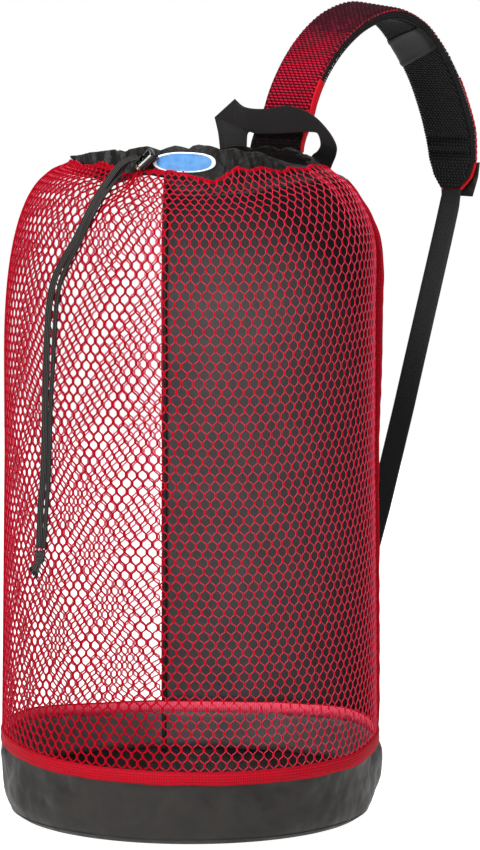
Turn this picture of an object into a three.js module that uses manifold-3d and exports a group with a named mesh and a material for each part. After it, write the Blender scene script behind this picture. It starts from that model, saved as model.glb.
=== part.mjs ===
// Mesh gear backpack: a round vinyl tub for a base, a tall red net body with a black vinyl back panel,
// a gathered nylon collar closed by a drawcord and barrel lock, a webbing grab handle, and one padded
// shoulder strap that arches from the rim and runs down to the base as flat webbing.
// Millimetres, +Z up, origin at the centre of the base's underside, back panel towards +Y.
import * as THREE from 'three';
import { mergeVertices } from 'three/addons/utils/BufferGeometryUtils.js';
import Module from 'manifold-3d';

const GAP = 0.3;                 // clearance between pieces that touch on the real bag
const ROUND_SEGMENTS = 48;       // facets round the base, shared by its three rings

// Vinyl base tub
const BASE = { floorRadius: 182, floorThick: 2, wall: 2, cornerHeight: 22, cornerRadius: 200, cornerSteps: 3,
  topRadius: 201.4, shoulderZ: 66, topZ: 81 };
const BINDING = { leg: 1.6, bottomZ: 68, topZ: 83.5 };

// Body of the bag: a slightly tapering cylinder, then a round shoulder in to an off-centre mouth
const BODY = { wall: 2, bottomZ: 83.8, sideRadius: 197, bottomFlare: 4.3, flareTopZ: 390, shoulderZ: 480,
  shoulderPower: 2.5 };
const MOUTH = { radius: 136, backShift: 20, seamZ: 699, frontDip: 23, dipAt: degrees(41) };
const SHOULDER_SHARE = 0.39;     // share of the wall's length, bottom to seam, that is shoulder

// Net: coarse honeycomb of pointed cells over everything but the back panel
const SEAM_AT = degrees(131);    // angle from the front at which net meets back panel, both sides
const SEAM_HALF = degrees(0.62);
const SEAM_CLEAR = degrees(0.8);
const NET = { columns: 11, rows: 10, openShare: 0.87, foldHeight: 3.5, foldStart: 0.68, foldPeak: 0.9 };
const PANEL = { columns: 10, rows: 13 };
const FIN = { proud: 8.5, topProud: 2.5, inset: 1, fadeFrom: 0.72, topAt: 0.93, rows: 16 };

// Gathered collar
const COLLAR = { wall: 2, rimGap: 1.2, ruffles: 24, perRuffle: 6, ruffleDepth: 5, topZ: 705, frontRise: 11,
  sideLean: 16, frontLean: 6, edgeWave: 2, rows: 2 };
// Flatter stretch of it behind lock and patch, and the core of that stretch
const QUIET = { centre: degrees(33), half: degrees(44), core: degrees(26.4), share: 0.9 };

// Padded shoulder strap: centre line in the plane X = 0, with its half width, its thickness and the degrees by
// which its +X edge rolls down there. Its edges are eased by a share of the thickness.
const STRAP_EASE = 0.25;
const PAD_ROWS = [
  { y: 158, z: 700.3, half: 33, thick: 4, roll: 0 },
  { y: 160, z: 724, half: 34, thick: 8, roll: 0 },
  { y: 167, z: 750, half: 34, thick: 11, roll: 0 },
  { y: 186, z: 782, half: 34, thick: 12, roll: 0 },
  { y: 218, z: 814, half: 34, thick: 13, roll: 2 },
  { y: 262, z: 839, half: 34, thick: 13, roll: 5 },
  { y: 314, z: 848, half: 34, thick: 13, roll: 6 },
  { y: 360, z: 832, half: 34, thick: 13, roll: 3 },
  { y: 394, z: 803, half: 34, thick: 12, roll: 0 },
  { y: 419, z: 773, half: 34, thick: 12, roll: 0 },
  { y: 435, z: 746, half: 34, thick: 12, roll: 0 },
  { y: 451, z: 710, half: 34, thick: 12, roll: 0 },
  { y: 457, z: 676, half: 31, thick: 11, roll: 0 },
  { y: 457, z: 658, half: 25, thick: 9, roll: 0 },
  { y: 454, z: 644, half: 14, thick: 5, roll: 0 },
];
const PAD_STEPS = 44;
const KEEPER = { from: 0.515, to: 0.585, half: 34.5, thick: 1.4, steps: 4 };
const TAB = { thick: 2.4, lift: 6.6, steps: 4, rows: [
  { y: 457.6, z: 674, half: 31 },
  { y: 457.4, z: 658, half: 29 },
  { y: 454.6, z: 636, half: 24 },
] };

// Flat webbing from the strap's tip down to the bottom seam of the base
const WEBBING_THICK = 1.6;
const TAIL_HALF = 12.5;
const TAIL_STEPS = 12;
const TAIL_ROWS = [
  { y: 453.85, z: 643.4 },
  { y: 446, z: 623 },
  { y: 369, z: 432 },
  { y: 290, z: 236 },
  { y: 214, z: 48 },
  { y: 202, z: 27 },
  { y: 200.6, z: 15 },
];

// Grab handle: a row gives the two edges of the webbing where it is folded or turns
const HANDLE_ROWS = [
  { ax: -74.5, ay: 137.5, az: 700.4, bx: -46.4, by: 149.5, bz: 700.4 },
  { ax: -78, ay: 138.5, az: 718, bx: -45, by: 149.5, bz: 718 },
  { ax: -84, ay: 139.5, az: 735, bx: -43, by: 149.5, bz: 720 },
  { ax: -58, ay: 143, az: 756, bx: -41, by: 149.5, bz: 720 },
  { ax: -48, ay: 146, az: 748, bx: -36, by: 149.5, bz: 719 },
  { ax: -24, ay: 148, az: 746, bx: -14, by: 149, bz: 719 },
  { ax: 13, ay: 147, az: 751, bx: 23, by: 147, bz: 722 },
  { ax: 41, ay: 142, az: 747, bx: 48, by: 142, bz: 724 },
  { ax: 62, ay: 138, az: 739, bx: 62, by: 138, bz: 723 },
  { ax: 84, ay: 135, az: 722, bx: 66, by: 137, bz: 717 },
  { ax: 91, ay: 135, az: 710, bx: 65, by: 139, bz: 711 },
  { ax: 86, ay: 138.5, az: 702, bx: 60, by: 144.5, bz: 703.5 },
  { ax: 77, ay: 145.5, az: 698.6, bx: 52, by: 151, bz: 700.8 },
];

// Cord lock on the front of the collar, tilted, with its sprung plunger at the lower end. Its cord slot is
// turned part way out from the collar and lies nearer the plunger.
const LOCK = { at: degrees(18.5), radius: 118.5, z: 707, tilt: degrees(42), barrelRadius: 7, barrelLength: 21,
  sides: 20, bore: 4.7, boreDepth: 15, rim: 1, slotTurn: degrees(45), slotAt: 13.5, slotWide: 7.9,
  slotHigh: 7.6 };
const PLUNGER = { radius: 4.3, sides: 16, inside: 10.4, outside: 5, tipDome: 2 };

// Drawcord: two flat braided strands that leave the lock one on the other, fall over the shoulder and hang
// side by side down the front of the net. A row gives degrees from the front, distance from the axis, height.
const CORD = { width: 7, thick: 3, sides: 8, steps: 32 };
const STRAND_LEFT = [
  { at: 15.6, r: 125.2, z: 708.6 },
  { at: 12.5, r: 130.4, z: 708.2 },
  { at: 10, r: 135.6, z: 704.8 },
  { at: 8.3, r: 140.2, z: 699.6 },
  { at: 7, r: 145, z: 693 },
  { at: 5.9, r: 150, z: 685.5 },
  { at: 4.8, r: 156.5, z: 677 },
  { at: 4.1, r: 164.5, z: 666.8 },
  { at: 3.2, r: 175.5, z: 650.5 },
  { at: 0.8, r: 185.5, z: 626.5 },
  { at: -3, r: 191.5, z: 603.4 },
  { at: -5.5, r: 195, z: 585 },
  { at: -6.6, r: 198, z: 562 },
  { at: -7, r: 200, z: 534 },
  { at: -7.5, r: 200.6, z: 496 },
  { at: -8, r: 200.6, z: 460 },
  { at: -8.2, r: 200.7, z: 428 },
  { at: -9, r: 201, z: 376 },
  { at: -9.9, r: 201.6, z: 350 },
  { at: -10.1, r: 202.4, z: 328 },
  { at: -10, r: 204, z: 304 },
];
const STRAND_RIGHT = [
  { at: 13.5, r: 120.2, z: 709.8 },
  { at: 11.2, r: 124, z: 708 },
  { at: 9.6, r: 128.6, z: 704 },
  { at: 8.6, r: 133.4, z: 698.4 },
  { at: 8, r: 138.4, z: 691.6 },
  { at: 7.5, r: 145.6, z: 684.6 },
  { at: 7.1, r: 153, z: 677 },
  { at: 6.9, r: 163.6, z: 667.4 },
  { at: 6.1, r: 177, z: 649.5 },
  { at: 3.6, r: 185.6, z: 625 },
  { at: 0.4, r: 191, z: 604 },
  { at: -2, r: 194.6, z: 586 },
  { at: -3.3, r: 197.6, z: 564 },
  { at: -3.6, r: 200, z: 534 },
  { at: -4.5, r: 200.6, z: 496 },
  { at: -5.4, r: 200.6, z: 460 },
  { at: -5.8, r: 200.7, z: 428 },
  { at: -6.5, r: 201, z: 376 },
  { at: -7.1, r: 201.6, z: 350 },
  { at: -7.5, r: 202.4, z: 328 },
  { at: -7.7, r: 204, z: 304 },
];
const KNOT = { at: degrees(-8.9), r: 206, topZ: 303.2, lean: degrees(3), flat: 0.62, sides: 14, profile: [
  { r: 7.6, drop: 0 },
  { r: 8.6, drop: 4 },
  { r: 8, drop: 10 },
  { r: 5, drop: 14 },
  { r: 4, drop: 16 },
  { r: 6.4, drop: 27 },
] };

// Sewn patch on the collar's front, plain: low and high are shares of the collar's height, and its ends are
// drawn in by a share of its height that grows with a power of the way out
const PATCH = { at: degrees(38), halfAngle: degrees(15), low: 0.42, high: 0.86, thick: 1, lift: 1.9,
  endShare: 0.85, endPower: 6, columns: 10, rows: 2 };

// Colours
const VINYL = '#2a2829';
const NYLON = '#1f1d1e';
const WEBBING = '#232122';
const RED_NET = '#c8102e';
const RED_TAPE = '#b00d27';
const SPACER_MESH = '#7d1426';
const PATCH_WHITE = '#e8eef4';
const LOCK_BLACK = '#0c0c0d';
const CHROME = '#d8d8d6';
const BRAID = '#2b292a';

const wasm = await Module();
wasm.setup();

function degrees(value) {
  return value * Math.PI / 180;
}

// Point at an angle from the front (-Y) turning towards +X, a distance from the axis, and a height
function polar(at, r, z) {
  return new THREE.Vector3(r * Math.sin(at), -r * Math.cos(at), z);
}

function smooth(from, to, value) {
  return THREE.MathUtils.smoothstep(value, from, to);
}

// How much a direction belongs to the front, where the mouth is pulled down and its collar stands up
function frontShare(at) {
  return Math.max(0, Math.cos(at - MOUTH.dipAt)) ** 2;
}

function seamHeight(at) {
  return MOUTH.seamZ - MOUTH.frontDip * frontShare(at);
}

// Distance from the bag's axis to the mouth's circle, whose centre lies towards the back
function mouthRadius(at) {
  const along = -MOUTH.backShift * Math.cos(at);
  return along + Math.sqrt(along ** 2 - MOUTH.backShift ** 2 + MOUTH.radius ** 2);
}

// Middle of the body's wall, by angle and by its share of the way up from binding to collar seam
function bodyPoint(at, share) {
  const straight = 1 - SHOULDER_SHARE;
  if (share <= straight) {
    const z = THREE.MathUtils.mapLinear(share, 0, straight, BODY.bottomZ, BODY.shoulderZ);
    const flare = Math.max(0, (BODY.flareTopZ - z) / (BODY.flareTopZ - BODY.bottomZ));
    return polar(at, BODY.sideRadius + BODY.bottomFlare * flare, z);
  }
  const turn = (share - straight) / SHOULDER_SHARE * Math.PI / 2;
  const power = 2 / BODY.shoulderPower;
  const out = Math.max(0, Math.cos(turn)) ** power;
  const up = Math.sin(turn) ** power;
  const r = mouthRadius(at) + (BODY.sideRadius - mouthRadius(at)) * out;
  return polar(at, r, BODY.shoulderZ + (seamHeight(at) - BODY.shoulderZ) * up);
}

function bodyNormal(at, share) {
  const step = 0.002;
  const across = bodyPoint(at + step, share).sub(bodyPoint(at - step, share));
  const along = bodyPoint(at, Math.min(share + step, 1)).sub(bodyPoint(at, Math.max(share - step, 0)));
  return across.cross(along).normalize();
}

function bodyOffset(at, share, offset) {
  return bodyPoint(at, share).addScaledVector(bodyNormal(at, share), offset);
}

// Closed geometry from points and triangles, turned so that its faces look outwards
function solid(points, triangles) {
  const geometry = new THREE.BufferGeometry();
  const coordinates = points.flatMap((p) => [p.x, p.y, p.z]);
  geometry.setAttribute('position', new THREE.Float32BufferAttribute(coordinates, 3));
  let volume = 0;
  for (const [a, b, c] of triangles) {
    volume += points[a].dot(new THREE.Vector3().crossVectors(points[b], points[c]));
  }
  const facing = volume > 0 ? triangles : triangles.map(([a, b, c]) => [a, c, b]);
  geometry.setIndex(facing.flat());
  geometry.computeVertexNormals();
  return geometry;
}

function quad(triangles, a, b, c, d) {
  triangles.push([a, b, c], [a, c, d]);
}

// Solid lofted through closed sections, each a list with the same number of points
function loft(sections) {
  const count = sections[0].length;
  const triangles = [];
  for (let s = 0; s + 1 < sections.length; s += 1) {
    for (let k = 0; k < count; k += 1) {
      const next = (k + 1) % count;
      quad(triangles, s * count + k, s * count + next, (s + 1) * count + next, (s + 1) * count + k);
    }
  }
  const last = (sections.length - 1) * count;
  for (let k = 1; k + 1 < count; k += 1) {
    triangles.push([0, k + 1, k], [last, last + k, last + k + 1]);
  }
  return solid(sections.flat(), triangles);
}

// Wall between two skins over a grid, closed round its edges; a ring joins its last column to its first
function wall(columns, rows, ring, outer, inner) {
  const points = [];
  const width = ring ? columns : columns + 1;
  for (const skin of [outer, inner]) {
    for (let j = 0; j <= rows; j += 1) {
      for (let i = 0; i < width; i += 1) {
        points.push(skin(i / columns, j / rows));
      }
    }
  }
  const layer = width * (rows + 1);
  const index = (side, i, j) => side * layer + j * width + (i % width);
  const triangles = [];
  for (let i = 0; i < columns; i += 1) {
    for (let j = 0; j < rows; j += 1) {
      quad(triangles, index(0, i, j), index(0, i + 1, j), index(0, i + 1, j + 1), index(0, i, j + 1));
      quad(triangles, index(1, i, j), index(1, i, j + 1), index(1, i + 1, j + 1), index(1, i + 1, j));
    }
    quad(triangles, index(0, i, 0), index(1, i, 0), index(1, i + 1, 0), index(0, i + 1, 0));
    quad(triangles, index(0, i, rows), index(0, i + 1, rows), index(1, i + 1, rows), index(1, i, rows));
  }
  for (let j = 0; j < rows && !ring; j += 1) {
    quad(triangles, index(0, 0, j), index(0, 0, j + 1), index(1, 0, j + 1), index(1, 0, j));
    const end = columns;
    quad(triangles, index(0, end, j), index(1, end, j), index(1, end, j + 1), index(0, end, j + 1));
  }
  return solid(points, triangles);
}

// Ring or disc turned about Z from a profile of radius and height
function turned(profile, segments) {
  const outline = profile.map(([r, z]) => new THREE.Vector2(r, z));
  const geometry = new THREE.LatheGeometry(outline, segments).rotateX(Math.PI / 2);
  return facingOut(geometry);
}

// Same geometry with shared vertices merged and its triangles looking outwards
function facingOut(geometry) {
  geometry.deleteAttribute('normal');
  geometry.deleteAttribute('uv');
  const merged = mergeVertices(geometry, 1e-4);
  const position = merged.getAttribute('position');
  const point = (_, k) => new THREE.Vector3().fromBufferAttribute(position, k);
  const points = Array.from({ length: position.count }, point);
  const triangles = [];
  for (let k = 0; k < merged.index.count; k += 3) {
    const corner = [0, 1, 2].map((c) => merged.index.getX(k + c));
    if (new Set(corner).size === 3) {
      triangles.push(corner);
    }
  }
  return solid(points, triangles);
}

// Cut one closed geometry out of another
function cut(body, tool) {
  const [kept, taken] = [body, tool].map((geometry) => new wasm.Manifold(new wasm.Mesh({
    numProp: 3,
    vertProperties: new Float32Array(geometry.getAttribute('position').array),
    triVerts: new Uint32Array(geometry.index.array),
  })));
  const mesh = kept.subtract(taken).getMesh();
  const geometry = new THREE.BufferGeometry();
  geometry.setAttribute('position', new THREE.Float32BufferAttribute(mesh.vertProperties, 3));
  geometry.setIndex(Array.from(mesh.triVerts));
  geometry.computeVertexNormals();
  return geometry;
}

function piece(name, geometry, color, roughness, metalness = 0) {
  const mesh = new THREE.Mesh(geometry, new THREE.MeshStandardMaterial({ color, roughness, metalness }));
  mesh.name = name;
  return mesh;
}

// Vinyl tub: a floor disc and a wall strip that curls under to meet it
function baseFloor() {
  const r = BASE.floorRadius - GAP;
  return turned([[0, 0], [r, 0], [r, BASE.floorThick], [0, BASE.floorThick]], ROUND_SEGMENTS);
}

function baseWall() {
  const corner = (inset) => Array.from({ length: BASE.cornerSteps + 1 }, (_, k) => {
    const turn = k / BASE.cornerSteps * Math.PI / 2;
    const r = BASE.floorRadius + (BASE.cornerRadius - BASE.floorRadius - inset) * Math.sin(turn);
    return [r, BASE.cornerHeight - (BASE.cornerHeight - inset) * Math.cos(turn)];
  });
  const outside = [...corner(0), [BASE.topRadius, BASE.shoulderZ], [BASE.topRadius, BASE.topZ]];
  const inside = [...corner(BASE.wall), [BASE.topRadius - BASE.wall, BASE.shoulderZ],
    [BASE.topRadius - BASE.wall, BASE.topZ]];
  return turned([...outside, ...inside.reverse(), outside[0]], ROUND_SEGMENTS);
}

// Red tape folded over the vinyl's top edge
function baseBinding() {
  const outer = BASE.topRadius + GAP + BINDING.leg;
  const inner = BASE.topRadius - BASE.wall - GAP - BINDING.leg;
  const webZ = BASE.topZ + GAP;
  const { leg, bottomZ, topZ } = BINDING;
  const profile = [[outer, bottomZ], [outer, topZ], [inner, topZ], [inner, bottomZ], [inner + leg, bottomZ],
    [inner + leg, webZ], [outer - leg, webZ], [outer - leg, bottomZ], [outer, bottomZ]];
  return turned(profile, ROUND_SEGMENTS);
}

// Honeycomb wall with a hole in every cell. Cells are halved along the two side seams, and the end rows are
// squared off into a hem. Towards the collar the columns rise and fall in gathers.
function net() {
  const bottom = -2 / 3;
  const top = NET.rows - 1 / 3;
  const reach = SEAM_AT - SEAM_CLEAR;
  const out = BODY.wall / 2;
  const points = [];
  const numbers = new Map();
  const triangles = [];
  const place = (x, y, offset) => {
    const at = THREE.MathUtils.mapLinear(x, 0, NET.columns, -reach, reach);
    const share = (y - bottom) / (top - bottom);
    const gathered = smooth(NET.foldStart, NET.foldPeak, share) * (1 - smooth(NET.foldPeak, 1, share));
    const fold = NET.foldHeight * gathered;
    return bodyOffset(at, share, offset + fold * Math.cos(2 * Math.PI * x));
  };
  const vertex = ([x, y], offset) => {
    const key = `${x.toFixed(3)},${y.toFixed(3)},${offset}`;
    if (!numbers.has(key)) {
      numbers.set(key, points.length);
      points.push(place(x, y, offset));
    }
    return numbers.get(key);
  };
  const strip = (a, b, c, d) => {
    quad(triangles, vertex(a, out), vertex(b, out), vertex(c, out), vertex(d, out));
    quad(triangles, vertex(d, -out), vertex(c, -out), vertex(b, -out), vertex(a, -out));
  };
  const edge = (a, b) => quad(triangles, vertex(a, out), vertex(a, -out), vertex(b, -out), vertex(b, out));
  const onBorder = (a, b) => [0, NET.columns].some((x) => a[0] === x && b[0] === x)
    || [bottom, top].some((y) => a[1] === y && b[1] === y);
  const cell = (x, row) => {
    const [low, lowTip] = row === 0 ? [bottom, bottom] : [row - 1 / 3, row - 2 / 3];
    const [high, highTip] = row === NET.rows - 1 ? [top, top] : [row + 1 / 3, row + 2 / 3];
    const loop = [[x, lowTip], [x + 0.5, low], [x + 0.5, high], [x, highTip], [x - 0.5, high], [x - 0.5, low]];
    return loop.filter(([side]) => side >= 0 && side <= NET.columns);
  };
  for (let row = 0; row < NET.rows; row += 1) {
    const odd = row % 2;
    for (let column = 0; column < NET.columns + odd; column += 1) {
      const loop = cell(column + (1 - odd) / 2, row);
      const cx = loop.reduce((sum, corner) => sum + corner[0], 0) / loop.length;
      const cy = loop.reduce((sum, corner) => sum + corner[1], 0) / loop.length;
      const hole = loop.map(([x, y]) => [cx + (x - cx) * NET.openShare, cy + (y - cy) * NET.openShare]);
      loop.forEach((corner, k) => {
        const next = (k + 1) % loop.length;
        strip(corner, loop[next], hole[next], hole[k]);
        edge(hole[next], hole[k]);
        if (onBorder(corner, loop[next])) {
          edge(corner, loop[next]);
        }
      });
    }
  }
  return solid(points, triangles);
}

function backPanel() {
  const from = SEAM_AT + SEAM_CLEAR;
  const to = 2 * Math.PI - from;
  const skin = (offset) => (u, v) => bodyOffset(from + (to - from) * u, v, offset);
  return wall(PANEL.columns, PANEL.rows, false, skin(BODY.wall / 2), skin(-BODY.wall / 2));
}

// Bound seam that stands out from the wall where net and back panel meet
function seamFin(middle) {
  const sections = [];
  for (let k = 0; k <= FIN.rows; k += 1) {
    const share = k / FIN.rows * FIN.topAt;
    const proud = THREE.MathUtils.lerp(FIN.proud, FIN.topProud, smooth(FIN.fadeFrom, FIN.topAt, share));
    sections.push([
      bodyOffset(middle - SEAM_HALF, share, -FIN.inset),
      bodyOffset(middle + SEAM_HALF, share, -FIN.inset),
      bodyOffset(middle + SEAM_HALF, share, proud),
      bodyOffset(middle - SEAM_HALF, share, proud),
    ]);
  }
  return loft(sections);
}

// Middle of the collar's wall, by angle and by its share of the way from seam to free edge
function collarPoint(at, share, offset) {
  const front = frontShare(at);
  const quiet = 1 - QUIET.share * (1 - smooth(QUIET.core, QUIET.half, Math.abs(at - QUIET.centre)));
  const lean = THREE.MathUtils.lerp(COLLAR.sideLean, COLLAR.frontLean, front);
  const ruffle = COLLAR.ruffleDepth * Math.cos(COLLAR.ruffles * at) * quiet * share;
  const wave = COLLAR.edgeWave * Math.sin(COLLAR.ruffles * at) * quiet * share;
  const r = mouthRadius(at) - COLLAR.rimGap - COLLAR.wall / 2 - lean * share + ruffle;
  const low = seamHeight(at) - COLLAR.wall / 2;
  const high = COLLAR.topZ + COLLAR.frontRise * front;
  return polar(at, r + offset, low + (high - low) * share + wave);
}

function collar() {
  const turn = (u) => (u > 0.5 ? u - 1 : u) * 2 * Math.PI;
  const skin = (offset) => (u, v) => collarPoint(turn(u), v, offset);
  const columns = COLLAR.ruffles * COLLAR.perRuffle;
  return wall(columns, COLLAR.rows, true, skin(COLLAR.wall / 2), skin(-COLLAR.wall / 2));
}

function patch() {
  const skin = (offset) => (u, v) => {
    const along = 2 * u - 1;
    const middle = (PATCH.low + PATCH.high) / 2;
    const half = (PATCH.high - PATCH.low) / 2 * Math.sqrt(1 - PATCH.endShare * along ** PATCH.endPower);
    return collarPoint(PATCH.at + along * PATCH.halfAngle, middle + (2 * v - 1) * half, offset);
  };
  const under = COLLAR.wall / 2 + PATCH.lift - PATCH.thick;
  return wall(PATCH.columns, PATCH.rows, false, skin(under + PATCH.thick), skin(under));
}

// Curve through the rows of a strap that lies in the plane X = 0
function strapCurve(rows) {
  return new THREE.CatmullRomCurve3(rows.map(({ y, z }) => new THREE.Vector3(0, y, z)), false, 'centripetal');
}

// Value of one column of a table at a share of the way through its rows
function between(rows, column, share) {
  const place = share * (rows.length - 1);
  const row = Math.min(Math.floor(place), rows.length - 2);
  return THREE.MathUtils.lerp(rows[row][column], rows[row + 1][column], place - row);
}

// Section of a strap at a share of its rows: eight corners with eased edges, moved off the centre line and
// rolled about it
function strapSection(curve, share, half, thick, lift = 0, roll = 0) {
  const centre = curve.getPoint(share);
  const tangent = curve.getTangent(share);
  const outward = new THREE.Vector3(0, -tangent.z, tangent.y);
  const [level, tipped] = [Math.cos(degrees(roll)), Math.sin(degrees(roll))];
  const ease = Math.min(thick, 2 * half) * STRAP_EASE;
  const outline = [[half, ease], [half - ease, 2 * ease], [ease - half, 2 * ease], [-half, ease],
    [-half, -ease], [ease - half, -2 * ease], [half - ease, -2 * ease], [half, -ease]];
  return outline.map(([x, n]) => {
    const up = n + lift;
    return centre.clone().addScaledVector(outward, up * level - x * tipped).setX(x * level + up * tipped);
  });
}

function shoulderPad() {
  const curve = strapCurve(PAD_ROWS);
  const sections = Array.from({ length: PAD_STEPS + 1 }, (_, k) => {
    const share = k / PAD_STEPS;
    const [half, thick, roll] = ['half', 'thick', 'roll'].map((column) => between(PAD_ROWS, column, share));
    return strapSection(curve, share, half, thick, 0, roll);
  });
  return loft(sections);
}

// Smooth band sewn across the strap's inner face
function keeperBand() {
  const curve = strapCurve(PAD_ROWS);
  const sections = Array.from({ length: KEEPER.steps + 1 }, (_, k) => {
    const share = THREE.MathUtils.lerp(KEEPER.from, KEEPER.to, k / KEEPER.steps);
    const lift = -between(PAD_ROWS, 'thick', share) / 2 - GAP - KEEPER.thick / 2;
    return strapSection(curve, share, KEEPER.half, KEEPER.thick, lift, between(PAD_ROWS, 'roll', share));
  });
  return loft(sections);
}

// Stiff tab on the strap's outer face at its tip, behind the webbing
function tipTab() {
  const curve = strapCurve(TAB.rows);
  const sections = Array.from({ length: TAB.steps + 1 }, (_, k) => {
    const share = k / TAB.steps;
    return strapSection(curve, share, between(TAB.rows, 'half', share), TAB.thick, TAB.lift);
  });
  return loft(sections);
}

function strapTail() {
  const curve = strapCurve(TAIL_ROWS);
  const sections = Array.from({ length: TAIL_STEPS + 1 }, (_, k) => {
    return strapSection(curve, k / TAIL_STEPS, TAIL_HALF, WEBBING_THICK);
  });
  return loft(sections);
}

// Webbing given by its two edges, thickened to both sides
function grabHandle() {
  const edgeA = HANDLE_ROWS.map(({ ax, ay, az }) => new THREE.Vector3(ax, ay, az));
  const edgeB = HANDLE_ROWS.map(({ bx, by, bz }) => new THREE.Vector3(bx, by, bz));
  const last = HANDLE_ROWS.length - 1;
  const middle = (k) => edgeA[k].clone().lerp(edgeB[k], 0.5);
  const sections = HANDLE_ROWS.map((_, k) => {
    const along = middle(Math.min(k + 1, last)).sub(middle(Math.max(k - 1, 0)));
    const across = edgeB[k].clone().sub(edgeA[k]);
    const face = along.cross(across).setLength(WEBBING_THICK / 2);
    return [edgeA[k].clone().add(face), edgeB[k].clone().add(face), edgeB[k].clone().sub(face),
      edgeA[k].clone().sub(face)];
  });
  return loft(sections);
}

// Barrel with a blind bore for the plunger and a cross slot for the two strands, along its own Z
function lockBarrel() {
  const { barrelRadius: r, barrelLength: length, bore, boreDepth, rim } = LOCK;
  const profile = [[0, 0], [r - rim, 0], [r, rim], [r, length - rim], [r - rim, length], [bore, length],
    [bore, length - boreDepth], [0, length - boreDepth]];
  const slot = new THREE.BoxGeometry(4 * r, LOCK.slotHigh, LOCK.slotWide);
  slot.translate(0, 0, LOCK.slotAt);
  return cut(turned(profile, LOCK.sides), facingOut(slot));
}

function lockPlunger() {
  const { radius: r, inside, outside, tipDome } = PLUNGER;
  const start = LOCK.barrelLength - inside;
  const end = LOCK.barrelLength + outside;
  return turned([[0, start], [r, start], [r, end - tipDome], [r - tipDome, end], [0, end]], PLUNGER.sides);
}

// Flat braided strand along its route, its broad side laid on the net
function strand(rows) {
  const path = new THREE.CatmullRomCurve3(rows.map(({ at, r, z }) => polar(degrees(at), r, z)));
  const frames = path.computeFrenetFrames(CORD.steps, false);
  const middle = CORD.steps / 2;
  const outward = path.getPointAt(0.5).setZ(0).normalize();
  const roll = Math.atan2(outward.dot(frames.binormals[middle]), outward.dot(frames.normals[middle]));
  const section = new THREE.Shape(Array.from({ length: CORD.sides }, (_, k) => {
    const turn = (k + 0.5) / CORD.sides * 2 * Math.PI;
    const corner = new THREE.Vector2(CORD.thick / 2 * Math.cos(turn), CORD.width / 2 * Math.sin(turn));
    return corner.rotateAround(new THREE.Vector2(), roll);
  }));
  return facingOut(new THREE.ExtrudeGeometry(section, { steps: CORD.steps, extrudePath: path }));
}

// Both strands knotted together, with their cut ends below
function cordKnot() {
  const end = KNOT.profile[KNOT.profile.length - 1].drop;
  const outline = [[0, 0], ...KNOT.profile.map(({ r, drop }) => [r, -drop]), [0, -end]];
  return turned(outline, KNOT.sides).scale(1, KNOT.flat, 1);
}

const bag = new THREE.Group();
bag.add(piece('base_floor', baseFloor(), VINYL, 0.55));
bag.add(piece('base_wall', baseWall(), VINYL, 0.5));
bag.add(piece('base_binding', baseBinding(), RED_TAPE, 0.8));
bag.add(piece('net', net(), RED_NET, 0.7));
bag.add(piece('back_panel', backPanel(), VINYL, 0.5));
bag.add(piece('seam_binding_right', seamFin(SEAM_AT), RED_TAPE, 0.8));
bag.add(piece('seam_binding_left', seamFin(-SEAM_AT), RED_TAPE, 0.8));
bag.add(piece('collar', collar(), NYLON, 0.6));
bag.add(piece('collar_patch', patch(), PATCH_WHITE, 0.4));
bag.add(piece('grab_handle', grabHandle(), WEBBING, 0.8));
bag.add(piece('shoulder_pad', shoulderPad(), SPACER_MESH, 0.9));
bag.add(piece('strap_keeper', keeperBand(), NYLON, 0.7));
bag.add(piece('strap_tip_tab', tipTab(), NYLON, 0.8));
bag.add(piece('strap_tail', strapTail(), WEBBING, 0.8));

// The lock's own Z runs from its closed end to the plunger, down and to the left along the collar
const lock = new THREE.Group();
const across = polar(LOCK.at + Math.PI / 2, 1, 0);
const plungeAxis = across.clone().multiplyScalar(-Math.cos(LOCK.tilt)).setZ(-Math.sin(LOCK.tilt));
const outwards = polar(LOCK.at, 1, 0);
const upLeft = new THREE.Vector3().crossVectors(plungeAxis, outwards);
const slotAxis = upLeft.multiplyScalar(Math.cos(LOCK.slotTurn));
slotAxis.addScaledVector(outwards, Math.sin(LOCK.slotTurn));
const thirdAxis = plungeAxis.clone().cross(slotAxis);
lock.setRotationFromMatrix(new THREE.Matrix4().makeBasis(slotAxis, thirdAxis, plungeAxis));
lock.position.copy(polar(LOCK.at, LOCK.radius, LOCK.z)).addScaledVector(plungeAxis, -LOCK.barrelLength / 2);
lock.add(piece('cord_lock_barrel', lockBarrel(), LOCK_BLACK, 0.2));
lock.add(piece('cord_lock_plunger', lockPlunger(), CHROME, 0.15, 1));
bag.add(lock);

bag.add(piece('drawcord_left', strand(STRAND_LEFT), BRAID, 0.85));
bag.add(piece('drawcord_right', strand(STRAND_RIGHT), BRAID, 0.85));

const knot = piece('drawcord_knot', cordKnot(), BRAID, 0.85);
knot.position.copy(polar(KNOT.at, KNOT.r, KNOT.topZ));
knot.rotation.set(0, KNOT.lean, KNOT.at, 'ZYX');
bag.add(knot);

export default bag;
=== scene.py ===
import math

import bpy
import numpy as np
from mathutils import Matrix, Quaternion, Vector, noise


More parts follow.
